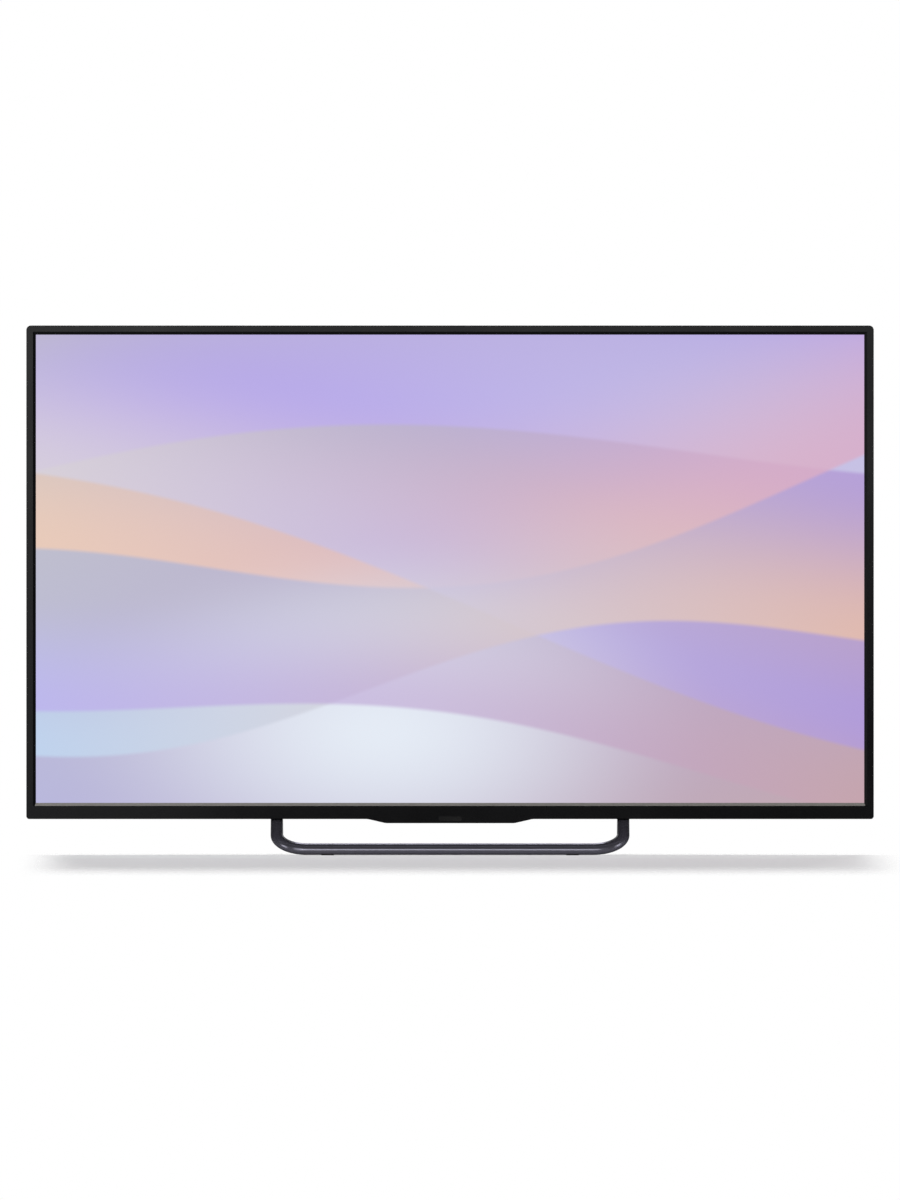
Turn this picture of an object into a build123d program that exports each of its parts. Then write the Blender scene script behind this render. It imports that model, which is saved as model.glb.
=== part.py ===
from build123d import *
import os
from math import cos, radians, sin, sqrt, tan

# Flat screen television of the 43-inch class on a stand of oval tube.
# Millimetres. +X is the viewer's right, +Y runs back from the screen, +Z is up.
# The origin is on the floor, under the middle of the stand and of the body's depth.

# Driving sizes: the picture, its borders and the body
screen_w = 941.2
screen_h = 532.0
border_side = 10.9
border_top = 10.5
border_bottom = 18.4
body_depth = 80.0
slim_depth = 35.0
body_lift = 40.8
corner_top = 5.3
corner_bottom = 3.4

# Driving sizes: the stand
tube_wide = 13.8
tube_thick = 11.4
tube_wall = 1.5
stand_w = 407.7
bar_y = 87.0
bar_z = 6.4
hoop_slope = 28.5
hoop_bend_r = 34.0
saddle_z = 45.4
shelf_half = 22.0

# Shared clearances and the overrun that every cut has
fit_gap = 0.3
hair_gap = 0.1
overrun = 2.0

body_w = screen_w + 2 * border_side
body_h = screen_h + border_top + border_bottom
body_z0 = body_lift
body_z1 = body_z0 + body_h
front_y = -body_depth / 2
back_y = body_depth / 2
slim_y = front_y + slim_depth
open_z0 = body_z0 + border_bottom
open_z1 = body_z1 - border_top
leg_x = (stand_w - tube_wide) / 2
sides = (-1, 1)


# Drawing helpers
def upright(y):
    """Plane parallel to the screen at depth y: its x is X and its y is Z."""
    return Plane(origin=(0, y, 0), x_dir=(1, 0, 0), z_dir=(0, -1, 0))


def plate(face, y0, y1):
    """Solid of a face drawn parallel to the screen, from depth y0 back to y1."""
    return extrude(upright(y0) * face, amount=y0 - y1)


def block(x, y, z):
    """Box between the low and high ends given for each axis."""
    low = (x[0], y[0], z[0])
    size = (x[1] - x[0], y[1] - y[0], z[1] - z[0])
    return Pos(*low) * Box(*size, align=(Align.MIN, Align.MIN, Align.MIN))


def peg(radius, length, base, along):
    """Round bar from a base point along a direction."""
    align = (Align.CENTER, Align.CENTER, Align.MIN)
    return Plane(origin=base, z_dir=along) * Cylinder(radius, length, align=align)


def rect(x, z):
    """Rectangle between low and high x and z, for plate()."""
    return Pos((x[0] + x[1]) / 2, (z[0] + z[1]) / 2) * Rectangle(x[1] - x[0], z[1] - z[0])


def around(centre, half):
    """Low and high ends of a span about its centre."""
    return (centre - half, centre + half)


def spread(low, high, count):
    """Evenly spaced places from low to high, both ends included."""
    return [low + (high - low) * i / (count - 1) for i in range(count)]


def both(make):
    """The left and right copies of a piece that make(side) builds."""
    return [make(side) for side in sides]


def ribbon(points, x, thick):
    """Flat lead of a thickness that follows (y, z) points, between two x."""
    plane = Plane(origin=(x[0], 0, 0), x_dir=(0, 1, 0), z_dir=(1, 0, 0))
    strip = trace(Polyline(*points), thick)
    return extrude(plane * strip, amount=x[1] - x[0])


BACK = (0, 1, 0)
FRONT = (0, -1, 0)
UP = (0, 0, 1)
DOWN = (0, 0, -1)


# Front bezel, with its inner bevel, the centre drop and the trim strip's seat
bezel_face = 2.0
bezel_depth = 14.0
bezel_wall = 2.2
bezel_edge_r = 0.6
bevel_w = 3.4
bevel_deep = 1.6
strip_groove = 0.3
drop_h = 4.7
drop_top_half = 95.2
drop_low_half = 71.6
drop_wall = 1.6
flank_top_share = 0.8
flank_low_share = 0.2
mitre_share = 0.35
face_y = front_y + bezel_face
rim_y = front_y + bezel_depth
strip_low = open_z0 - bevel_w - strip_groove
drop_z = body_z0 - drop_h

# Channel that lets each leg pass up under the body
channel_gap = 1.2
channel_half = tube_wide / 2 + channel_gap
notch_face = 3.5

# Keys under the centre drop, their board and the infrared window
key_count = 6
key_space = 8.0
key_w = 12.0
key_d = 6.4
key_flange = 1.2
key_flange_h = 1.0
key_post_r = 1.8
key_gap = 0.35
key_travel = 0.6
key_setback = 6.0
key_y = rim_y - key_setback
key_room = 9.9
key_boss_gap = 5.0
key_board_margin = 5.0
key_board_thick = 1.6
key_board_d = 9.6
key_boss_r = 2.6
switch_side = 6.0
switch_h = 3.4
window_w = 26.0
window_h = 5.0
window_r = 1.5
window_lip = 1.0
least_corner_share = 0.3
window_rise = 0.6
window_z = body_z0 + window_rise
key_pitch = key_w + key_space
key_span = key_pitch * (key_count - 1) / 2 + key_w / 2
key_boss_x = key_span + key_boss_gap
key_board_half = key_boss_x + key_board_margin
key_board_z = drop_z + drop_wall + key_room


def corner_share(inset, radius):
    """Share of a corner's radius that is left when its outline is drawn in."""
    return max(1 - inset / radius, least_corner_share)


def body_face(inset):
    """The body's outline seen from the front, drawn in by inset."""
    centre_z = body_z0 + body_h / 2
    face = Pos(0, centre_z) * Rectangle(body_w - 2 * inset, body_h - 2 * inset)
    ends = face.vertices().sort_by(Axis.Y)
    face = fillet(ends[:2], corner_bottom * corner_share(inset, corner_bottom))
    ends = face.vertices().sort_by(Axis.Y)
    return fillet(ends[-2:], corner_top * corner_share(inset, corner_top))


def drop_face(inset):
    """The centre drop's outline with its soft flanks, drawn in by inset."""
    top, low = drop_top_half - inset, drop_low_half - inset
    high_z, low_z = body_z0 + bezel_wall, drop_z + inset
    bend_top = low + (top - low) * flank_top_share
    bend_low = low + (top - low) * flank_low_share
    edges = []
    for side in sides:
        edges.append(
            Bezier(
                (side * top, body_z0),
                (side * bend_top, body_z0),
                (side * bend_low, low_z),
                (side * low, low_z),
            )
        )
    edges.append(Line((-low, low_z), (low, low_z)))
    edges.append(Polyline((-top, body_z0), (-top, high_z), (top, high_z), (top, body_z0)))
    return make_face(Curve() + edges)


def picture_window():
    """Everything that the bevelled picture opening takes out of the front face."""
    wide = rect(around(0, screen_w / 2 + bevel_w), (open_z0 - bevel_w, open_z1 + bevel_w))
    tight = rect(around(0, screen_w / 2), (open_z0, open_z1))
    bevel = loft([upright(front_y) * wide, upright(front_y + bevel_deep) * tight], ruled=True)
    return bevel + plate(tight, front_y + bevel_deep, face_y + overrun)


def strip_outline(low):
    """Mitred outline of the trim strip, down to a height."""
    half = screen_w / 2
    reach = half + (open_z0 - low) * mitre_share
    points = [(-half, open_z0), (-reach, low), (reach, low), (half, open_z0)]
    return make_face(Polyline(*points, close=True))


def key_places():
    """Places of the keys along X."""
    half = key_span - key_w / 2
    return spread(-half, half, key_count)


def window_face(grow):
    """Outline of the infrared window, grown by a margin."""
    size = (window_w + 2 * grow, window_h + 2 * grow)
    return Pos(0, window_z) * RectangleRounded(*size, window_r + grow)


def front_bezel():
    """Black moulded frame round the picture."""
    frame = plate(body_face(0) + drop_face(0), front_y, rim_y)
    frame = fillet(frame.faces().sort_by(Axis.Y)[0].edges(), bezel_edge_r)
    frame -= plate(body_face(bezel_wall), face_y, rim_y + overrun)
    frame -= plate(drop_face(drop_wall), face_y, rim_y - drop_wall)
    frame -= picture_window()
    frame -= plate(strip_outline(strip_low), front_y - overrun, face_y + overrun)
    cuts = []
    for side in sides:
        x = around(side * leg_x, channel_half)
        y = (front_y + notch_face, rim_y + overrun)
        cuts.append(block(x, y, (body_z0 - overrun, body_z0 + bezel_wall + overrun)))
    for x in key_places():
        y = around(key_y, key_d / 2 + key_gap)
        z = (drop_z - overrun, drop_z + drop_wall + hair_gap)
        cuts.append(block(around(x, key_w / 2 + key_gap), y, z))
    frame -= cuts
    frame -= plate(window_face(0), front_y - overrun, face_y + overrun)
    for side in sides:
        base = (side * key_boss_x, key_y, drop_z + drop_wall)
        height = key_board_z - drop_z - drop_wall
        boss = peg(key_boss_r, height, base, UP)
        frame += boss - peg(small_screw_r, height, base, UP)
    return frame


def lower_trim_strip():
    """Grey satin strip along the lower inner edge."""
    seat = plate(strip_outline(strip_low + strip_groove), front_y, face_y)
    return seat - picture_window()


def ir_window():
    """Smoked lens flush with the bezel, with a lip behind its face."""
    lip = plate(window_face(window_lip), face_y, face_y + window_lip)
    return plate(window_face(0), front_y, face_y) + lip


# Screws: the shank's radius is also that of the hole it bites in
small_screw_r = 1.3
small_head_r = 2.6
small_head_h = 1.6
small_screw_len = 5.0
board_screw_r = 1.5
board_head_r = 3.2
board_head_h = 2.0
board_screw_len = 8.0
screw_play = 0.3


def screw(shank_r, head_r, head_h, length, seat, into):
    """Screw whose head rests at seat and whose shank runs into the work."""
    back = tuple(-c for c in into)
    shank = peg(shank_r, length, seat, into)
    return shank + peg(head_r, head_h, seat, back)


def key(x):
    """One key: cap flush with the drop's underside, flange inside, post to its switch."""
    floor = drop_z + drop_wall + fit_gap
    cap = block(around(x, key_w / 2), around(key_y, key_d / 2), (drop_z, floor + hair_gap))
    half = (key_w / 2 + key_flange, key_d / 2 + key_flange)
    rim_z = (floor, floor + key_flange_h)
    rim = block(around(x, half[0]), around(key_y, half[1]), rim_z)
    top = key_board_z - switch_h - key_travel - hair_gap
    post = peg(key_post_r, top - floor, (x, key_y, floor), UP)
    return cap + rim + post


def key_board():
    """Board over the keys, screwed to the drop's two bosses."""
    y = around(key_y, key_board_d / 2)
    board = block(around(0, key_board_half), y, (key_board_z, key_board_z + key_board_thick))
    for side in sides:
        base = (side * key_boss_x, key_y, key_board_z)
        board -= peg(small_screw_r + screw_play, key_board_thick, base, UP)
    return board


def key_switches():
    """Push switches under the key board, one over each key."""
    y = around(key_y, switch_side / 2)
    z = (key_board_z - switch_h, key_board_z)
    return [block(around(x, switch_side / 2), y, z) for x in key_places()]


def key_board_screws():
    """Two screws that hold the key board."""
    top = key_board_z + key_board_thick
    sizes = (small_screw_r, small_head_r, small_head_h, small_screw_len)
    return both(lambda side: screw(*sizes, (side * key_boss_x, key_y, top), DOWN))


receiver_w = 7.0
receiver_h = 6.6
receiver_d = 2.2
receiver_dome_r = 2.4
light_gap = 0.2
light_r = 1.5
light_len = 4.0
light_x = receiver_w / 2 + light_gap + light_r


def receiver_y():
    """Depth of the receiver's front face, just behind the window's lip and dome."""
    return face_y + window_lip + fit_gap + receiver_dome_r / 2


def ir_receiver():
    """Infrared receiver that hangs from the key board behind the window."""
    y0 = receiver_y()
    z = (key_board_z - receiver_h, key_board_z)
    body = block(around(0, receiver_w / 2), (y0, y0 + receiver_d), z)
    dome = (0, y0 - receiver_dome_r / 2, key_board_z - receiver_h / 2)
    return body + peg(receiver_dome_r, receiver_dome_r / 2, dome, BACK)


def standby_light():
    """Small lamp beside the receiver."""
    y0 = receiver_y() - receiver_dome_r / 2
    base = (light_x, y0, key_board_z - light_r)
    return peg(light_r, light_len, base, BACK)


# Picture module: cell, frame, films, diffuser, lamps and the steel pan behind them
cell_gap = 0.2
cell_thick = 1.4
cell_under = 3.4
frame_ledge = 1.0
frame_rim = 2.4
films_thick = 0.8
diffuser_thick = 1.5
pan_sheet = 0.8
pan_gap_side = 1.3
pan_top_gap = 0.8
pan_low = 12.6
pan_flange = 7.0
pan_slope = 9.0
pan_room = 2.7
cover_wall = 2.5
pan_back_y = slim_y - cover_wall - pan_room
reflector_thick = 0.4
bar_thick = 1.0
cell_y0 = face_y + cell_gap
cell_y1 = cell_y0 + cell_thick
films_y0 = cell_y1 + frame_ledge
films_y1 = films_y0 + films_thick
diffuser_y1 = films_y1 + diffuser_thick
pan_floor_y = pan_back_y - pan_sheet
module_x = body_w / 2 - bezel_wall - pan_gap_side
module_z0 = body_z0 + pan_low
module_z1 = body_z1 - bezel_wall - pan_top_gap


def module_rect(inset):
    """Rectangle of the picture module, drawn in by inset."""
    return rect(around(0, module_x - inset), (module_z0 + inset, module_z1 - inset))


def lcd_cell():
    """Glass sandwich that shows the picture."""
    x = around(0, screen_w / 2 + cell_under)
    return plate(rect(x, (open_z0 - cell_under, open_z1 + cell_under)), cell_y0, cell_y1)


def flex_places():
    """Places of the cell's flexes along X."""
    half = screen_w / 2 - flex_inset
    return spread(-half, half, flex_count)


def flex_notches(y0):
    """Notches over the cell's upper edge, from a depth back, that the flexes pass."""
    top = (open_z1 + cell_under, module_z1 + overrun)
    y = (y0 - overrun, diffuser_y1 + pan_sheet + overrun)
    return [block(around(x, flex_w / 2 + fit_gap), y, top) for x in flex_places()]


def panel_frame():
    """Black frame that carries the cell in front and the films behind."""
    frame = plate(module_rect(0), cell_y0, diffuser_y1)
    x = around(0, screen_w / 2 + cell_under + hair_gap)
    z = (open_z0 - cell_under - hair_gap, open_z1 + cell_under + hair_gap)
    frame -= plate(rect(x, z), cell_y0 - overrun, cell_y1)
    ledge = rect(around(0, screen_w / 2 + hair_gap), (open_z0 - hair_gap, open_z1 + hair_gap))
    frame -= plate(ledge, cell_y1 - overrun, films_y0 + overrun)
    frame -= plate(module_rect(frame_rim), films_y0, diffuser_y1 + overrun)
    return frame - flex_notches(cell_y0)


def optical_films():
    """Thin stack of light-spreading films."""
    return plate(module_rect(frame_rim + fit_gap), films_y0, films_y1)


def diffuser_plate():
    """Milky plate behind the films."""
    return plate(module_rect(frame_rim + fit_gap), films_y1, diffuser_y1)


def tray(top_inset, low_inset, y0, y1):
    """Solid that narrows from one inset of the module to another."""
    faces = [upright(y0) * module_rect(top_inset), upright(y1) * module_rect(low_inset)]
    return loft(faces, ruled=True)


# Lamp bars and their lenses
bar_count = 4
bar_lamps = 9
bar_h = 15.0
bar_margin = 48.0
lamp_margin = 54.0
lens_r = 7.5
lens_h = 4.5
lens_bevel = 1.6
lens_well_r = 2.4
lens_well_h = 1.3
chip_side = 3.0
chip_h = 0.8
post_base_r = 5.0
post_tip_r = 1.0
post_step_shares = (-2.5, 0.5, 2.5)
row_margin_share = 0.125


def bar_rows():
    """Heights of the lamp bars."""
    margin = screen_h * row_margin_share
    return spread(open_z0 + margin, open_z1 - margin, bar_count)


def lamp_places():
    """Centre of every lamp as (x, z)."""
    half = screen_w / 2 - lamp_margin
    return [(x, z) for z in bar_rows() for x in spread(-half, half, bar_lamps)]


def post_places():
    """Places of the diffuser posts, midway between two lamp rows."""
    rows = bar_rows()
    levels = [(low + high) / 2 for low, high in zip(rows, rows[1:])]
    half = screen_w / 2 - lamp_margin
    pitch = 2 * half / (bar_lamps - 1)
    return [(step * pitch, z) for z in levels for step in post_step_shares]


def led_bars():
    """Long narrow boards that carry the lamps."""
    y = (pan_floor_y - bar_thick, pan_floor_y)
    x = around(0, screen_w / 2 - bar_margin)
    return [block(x, y, around(z, bar_h / 2)) for z in bar_rows()]


def led_lenses():
    """Round lenses that spread each lamp's light."""
    lenses = []
    for x, z in lamp_places():
        base = (x, pan_floor_y - bar_thick, z)
        lens = peg(lens_r, lens_h, base, FRONT)
        lens = chamfer(lens.edges().sort_by(Axis.Y)[0], lens_bevel)
        lenses.append(lens - peg(lens_well_r, lens_well_h, base, FRONT))
    return lenses


def led_chips():
    """Square lamp chips in the lenses' wells."""
    y = (pan_floor_y - bar_thick - chip_h, pan_floor_y - bar_thick)
    half = chip_side / 2
    return [block(around(x, half), y, around(z, half)) for x, z in lamp_places()]


def diffuser_posts():
    """Slim cones that keep the diffuser plate off the lamps."""
    y0 = pan_floor_y - bar_thick - reflector_thick
    height = y0 - diffuser_y1 - fit_gap
    align = (Align.CENTER, Align.CENTER, Align.MIN)
    cone = Cone(post_base_r, post_tip_r, height, align=align)
    return [Plane(origin=(x, y0, z), z_dir=FRONT) * cone for x, z in post_places()]


def reflector_sheet():
    """White sheet over the lamp bars, pierced for each lens."""
    y1 = pan_floor_y - bar_thick
    edge = pan_flange + pan_sheet + fit_gap
    low = edge + pan_slope
    y0 = diffuser_y1 + pan_sheet + fit_gap
    sheet = tray(edge, low, y0, y1)
    sheet -= tray(edge + reflector_thick, low + reflector_thick, y0, y1 - reflector_thick)
    holes = []
    for x, z in lamp_places():
        holes.append(peg(lens_r + fit_gap, 2 * overrun, (x, y1 + overrun / 2, z), FRONT))
    return sheet - holes


# Electronics behind the pan, on stand-offs
board_lift = 14.2
board_thick = 1.6
board_rise = 79.6
board_h = 154.0
board_foot_rise = 18.0
main_w = 240.5
power_w = 212.0
board_apart = 38.0
main_right = -8.0
board_inset = 6.0
board_y = pan_back_y + board_lift
board_z0 = body_z0 + board_rise
board_z1 = board_z0 + board_h
main_x = (main_right - main_w, main_right)
power_x = (main_right + board_apart, main_right + board_apart + power_w)
board_feet_z = (board_z0 + board_foot_rise, board_z1)
standoff_r = 3.6
vesa_w = 200.0
vesa_h = 200.0
vesa_rise = 219.2
vesa_bore_r = 3.0
vesa_bore_len = 14.0
vesa_post_r = 6.0
vesa_ring_gap = 0.4
board_hole_r = 8.0
board_back = board_y + board_thick
vesa_z = body_z0 + vesa_rise


def corners(x, z, inset):
    """Four places near a board's corners."""
    low_z, high_z = z[0] + inset, z[1] - inset
    return [(cx, cz) for cx in (x[0] + inset, x[1] - inset) for cz in (low_z, high_z)]


def vesa_places():
    """The four wall-mount places as (x, z)."""
    half_w, half_h = vesa_w / 2, vesa_h / 2
    return [(sx * half_w, vesa_z + sz * half_h) for sx in sides for sz in sides]


def board_places():
    """Every stand-off of the two large boards as (x, z)."""
    main = corners(main_x, board_feet_z, board_inset)
    return main + corners(power_x, board_feet_z, board_inset)


# Screws that hold the rear cover to the pan
cover_screw_r = 1.8
cover_head_r = 3.6
cover_head_h = 1.8
cover_screw_len = 7.0
cover_sink = 1.2
cover_boss_r = 4.6
cover_screw_inset = 26.0
cover_screw_cols = 5


def cover_screw_places():
    """Screws round the slim part: along the top and up both sides."""
    half = body_w / 2 - cover_screw_inset
    top = body_z1 - cover_screw_inset
    low = body_z0 + cover_screw_inset
    places = [(x, top) for x in spread(-half, half, cover_screw_cols)]
    for x in (-half, half):
        places += [(x, z) for z in spread(low, top, 3)[:2]]
    return places


timing_at_share = 0.3
timing_size = (144.0, 48.0)
timing_gap = 17.0
timing_lift = 3.0
timing_inset = 5.0
timing_x = around(-vesa_w * timing_at_share, timing_size[0] / 2)
timing_z = (board_z1 + timing_gap, board_z1 + timing_gap + timing_size[1])


def back_chassis():
    """Steel pan with a flange in front and bosses and stand-offs behind."""
    edge = pan_flange
    flange = plate(module_rect(0), diffuser_y1, diffuser_y1 + pan_sheet)
    flange -= plate(module_rect(edge), diffuser_y1 - overrun, diffuser_y1 + pan_sheet + overrun)
    flange -= flex_notches(diffuser_y1)
    walls = tray(edge - pan_sheet, edge + pan_slope, diffuser_y1 + pan_sheet, pan_back_y)
    hollow = tray(edge, edge + pan_slope + pan_sheet, diffuser_y1 + pan_sheet, pan_floor_y)
    pan = flange + (walls - hollow)
    bosses = []
    for x, z in board_places():
        boss = peg(standoff_r, board_y - pan_back_y, (x, pan_back_y, z), BACK)
        bosses.append(boss - peg(board_screw_r, board_y - pan_back_y, (x, pan_back_y, z), BACK))
    for x, z in corners(timing_x, timing_z, timing_inset):
        boss = peg(standoff_r, timing_lift, (x, pan_back_y, z), BACK)
        bosses.append(boss - peg(board_screw_r, timing_lift, (x, pan_back_y, z), BACK))
    for x, z in cover_screw_places():
        height = slim_y - cover_wall - pan_back_y
        boss = peg(cover_boss_r, height, (x, pan_back_y, z), BACK)
        bosses.append(boss)
    pan += bosses
    holes = []
    for x, z in cover_screw_places():
        depth = cover_screw_len
        holes.append(peg(cover_screw_r, depth, (x, slim_y - cover_sink, z), FRONT))
    return pan - holes


# Flexes and source boards on the pan's top wall
flex_count = 8
flex_w = 26.0
flex_inset = 70.0
flex_thick = 0.3
source_d = 11.0
source_thick = 1.0
source_lift = 0.5
source_gap = 12.0
source_inset = 5.5
flex_rise = 2.2
flex_start_y = (cell_y0 + cell_y1) / 2


def wall_plane():
    """Plane on the pan's sloped top wall: x is X, y runs back and down along it."""
    run = pan_back_y - diffuser_y1 - pan_sheet
    fall = pan_slope + pan_sheet
    length = sqrt(run * run + fall * fall)
    z_dir = (0, fall / length, run / length)
    origin = (0, diffuser_y1 + pan_sheet, module_z1 - pan_flange + pan_sheet)
    return Plane(origin=origin, x_dir=(1, 0, 0), z_dir=z_dir)


def source_boards():
    """Two long boards on the pan's top wall that drive the cell's columns."""
    half = screen_w / 2 - flex_inset + flex_w
    y = (source_inset, source_inset + source_d)
    z = (source_lift, source_lift + source_thick)
    return [wall_plane() * block(x, y, z) for x in ((-half, -source_gap), (source_gap, half))]


def cell_flexes():
    """Thin flexes from the cell's upper edge over to the source boards."""
    end = wall_plane().from_local_coords((0, source_inset, source_lift + source_thick / 2))
    high = open_z1 + cell_under + flex_rise
    points = [
        (flex_start_y, open_z1 + cell_under),
        (flex_start_y, high),
        (end.Y - flex_rise, high),
        (end.Y, end.Z),
    ]
    boards = source_boards()
    strips = [ribbon(points, around(x, flex_w / 2), flex_thick) for x in flex_places()]
    return [strip - boards for strip in strips]


def pierced_board(x, z, y, feet):
    """Board with screw holes at its feet."""
    board = block(x, (y, y + board_thick), z)
    holes = [peg(board_screw_r + screw_play, board_thick, (cx, y, cz), BACK) for cx, cz in feet]
    return board - holes


def big_board(x):
    """One of the two large boards, holed for the wall-mount post that passes it."""
    board = pierced_board(x, (board_z0, board_z1), board_y, corners(x, board_feet_z, board_inset))
    for cx, cz in vesa_places():
        board -= peg(board_hole_r, board_thick, (cx, board_y, cz), BACK)
    return board


def timing_board():
    """Board that times the picture's rows and columns."""
    feet = corners(timing_x, timing_z, timing_inset)
    return pierced_board(timing_x, timing_z, pan_back_y + timing_lift, feet)


def board_screws():
    """Screws of the two large boards and the timing board."""
    sizes = (board_screw_r, board_head_r, board_head_h, board_screw_len)
    screws = [screw(*sizes, (x, board_back, z), FRONT) for x, z in board_places()]
    short = (board_screw_r, board_head_r, board_head_h, timing_lift + board_thick)
    seat = pan_back_y + timing_lift + board_thick
    for x, z in corners(timing_x, timing_z, timing_inset):
        screws.append(screw(*short, (x, seat, z), FRONT))
    return screws


def vesa_posts():
    """Steel posts from the pan to the rear cover, threaded for a wall mount."""
    posts = []
    for x, z in vesa_places():
        post = peg(vesa_post_r, back_y - pan_back_y, (x, pan_back_y, z), BACK)
        posts.append(post - peg(vesa_bore_r, vesa_bore_len, (x, back_y, z), FRONT))
    return posts


# Parts on the main board
chip_w = 27.0
chip_t = 2.0
chip_inset = (78.0, 93.0)
chip_at = (main_x[0] + chip_inset[0], board_z0 + chip_inset[1])
fin_count = 9
fin_thick = 1.2
fin_h = 12.0
fin_base = 2.5
sink_w = 52.0


def processor():
    """Picture processor on the main board."""
    x, z = chip_at
    return block(around(x, chip_w / 2), (board_back, board_back + chip_t), around(z, chip_w / 2))


def heat_sink():
    """Finned block on the processor."""
    x, z = chip_at
    y = board_back + chip_t
    base = block(around(x, sink_w / 2), (y, y + fin_base), around(z, sink_w / 2))
    half = (sink_w - fin_thick) / 2
    fins = []
    for cx in spread(x - half, x + half, fin_count):
        fin_y = (y + fin_base, y + fin_base + fin_h)
        fins.append(block(around(cx, fin_thick / 2), fin_y, around(z, sink_w / 2)))
    return base + fins


# Terminal bays in the rear cover and the sockets in them
bay_y = 2.0
bay_margin = 6.0
plate_sheet = 0.8
plate_room = 1.0
plate_lap = 3.0
wall_lap = 1.2
socket_proud = 0.6
socket_gap = 4.0

hdmi_out = (15.0, 6.2, 12.0)
hdmi_in = (14.0, 4.55)
hdmi_tongue = (11.4, 1.5)
usb_out = (14.2, 7.0, 14.0)
usb_in = (12.6, 5.2)
usb_tongue = (11.0, 1.8)
tongue_len_share = 0.72
mouth_len_share = 0.8
lan_out = (16.0, 13.4, 21.0)
lan_in = (11.8, 8.2)
card_out = (58.0, 8.6, 44.0)
card_in = (54.4, 5.2)
optical_out = (10.0, 9.6, 13.0)
optical_in = (6.6, 6.6)
jack_out = (12.0, 12.0, 11.0)
jack_r = 4.15
jack_hole_r = 1.6
jack_nose = 8.0
tuner_out = (34.0, 13.0, 26.0)
antenna_r = 4.8
antenna_ring = 0.8
antenna_pin_r = 1.2
antenna_len = 10.0
phone_out = (11.0, 8.0, 12.0)
phone_r = 1.8
phone_nose_r = 3.4
phone_nose = 1.0
inlet_out = (25.0, 14.0, 18.0)
inlet_in = (17.4, 9.0)
inlet_pin_r = 1.2
inlet_pin_gap = 8.6
inlet_pin_len = 9.0


def in_a_row(start, sockets):
    """Centres of sockets set side by side from a start, with even gaps."""
    centres = []
    for out in sockets:
        centres.append(start + out[0] / 2)
        start += out[0] + socket_gap
    return centres, start


# Stand sockets stand over each leg, and the bays keep clear of them
socket_half = 26.0
socket_back_y = 18.0
socket_top = 18.0
socket_low = 5.0
bay_gap = 6.0

side_bay_x = main_x[0] - cover_wall - plate_room
low_bay_z = board_z0 - cover_wall - plate_room
side_row = [phone_out, usb_out, hdmi_out, card_out]
side_start = board_feet_z[0] + board_inset + board_head_r + socket_gap
side_at, side_end = in_a_row(side_start, side_row)
side_bay_z = (side_start - bay_margin, side_end - socket_gap + bay_margin)
low_bay_x0 = -leg_x + socket_half + bay_gap
low_row = [tuner_out, lan_out, optical_out, hdmi_out, hdmi_out, jack_out, jack_out, jack_out]
low_at, low_end = in_a_row(low_bay_x0 + bay_margin, low_row)
low_bay_x = (low_bay_x0, low_end - socket_gap + bay_margin)
inlet_at = leg_x - socket_half - bay_gap - bay_margin - inlet_out[0] / 2
mains_bay_x = around(inlet_at, inlet_out[0] / 2 + bay_margin)
side_mouth = side_bay_x + cover_wall - socket_proud
low_mouth = low_bay_z + cover_wall - socket_proud


def box_socket(out, hole, tongue):
    """Socket lying on its back: mouth at the origin facing -Z, x wide, y up off the board."""
    width, height, depth = out
    mouth = depth * mouth_len_share
    shell = block(around(0, width / 2), (0, height), (0, depth))
    shell -= block(around(0, hole[0] / 2), around(height / 2, hole[1] / 2), (0, mouth))
    if tongue:
        reach = mouth * tongue_len_share
        x, y = around(0, tongue[0] / 2), around(height / 2, tongue[1] / 2)
        shell += block(x, y, (mouth - reach, mouth + hair_gap))
    return shell


def on_side(z):
    """Location of a socket on the main board's side edge, facing -X."""
    return Plane(origin=(side_mouth, board_back, z), x_dir=(0, 0, -1), z_dir=(1, 0, 0))


def on_low(x):
    """Location of a socket on the main board's lower edge, facing down."""
    return Plane(origin=(x, board_back, low_mouth), x_dir=(1, 0, 0), z_dir=(0, 0, 1))


def hdmi_sockets():
    """One socket in the side bay and two in the lower bay."""
    socket = box_socket(hdmi_out, hdmi_in, hdmi_tongue)
    return [on_side(side_at[2]) * socket] + [on_low(x) * socket for x in low_at[3:5]]


def usb_socket():
    """Socket in the side bay."""
    return on_side(side_at[1]) * box_socket(usb_out, usb_in, usb_tongue)


def card_slot():
    """Metal cage for a decoder card, in the side bay."""
    return on_side(side_at[3]) * box_socket(card_out, card_in, None)


def lan_socket():
    """Network socket in the lower bay."""
    return on_low(low_at[1]) * box_socket(lan_out, lan_in, None)


def optical_socket():
    """Optical sound output in the lower bay."""
    return on_low(low_at[2]) * box_socket(optical_out, optical_in, None)


def headphone_jack():
    """Round jack in the side bay."""
    width, height, depth = phone_out
    body = block(around(0, width / 2), (0, height), (0, depth))
    centre = height / 2
    body += peg(phone_nose_r, phone_nose, (0, centre, -phone_nose), UP)
    body -= peg(phone_r, depth * mouth_len_share, (0, centre, -phone_nose), UP)
    return on_side(side_at[0]) * body


def av_jacks():
    """Three round jacks in the lower bay."""
    width, height, depth = jack_out
    jacks = []
    for x in low_at[5:]:
        centre = height / 2
        jack = block(around(0, width / 2), (0, height), (0, depth))
        jack += peg(jack_r, jack_nose, (0, centre, -jack_nose), UP)
        jack -= peg(jack_hole_r, jack_nose + depth * mouth_len_share, (0, centre, -jack_nose), UP)
        jacks.append(on_low(x) * jack)
    return jacks


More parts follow.
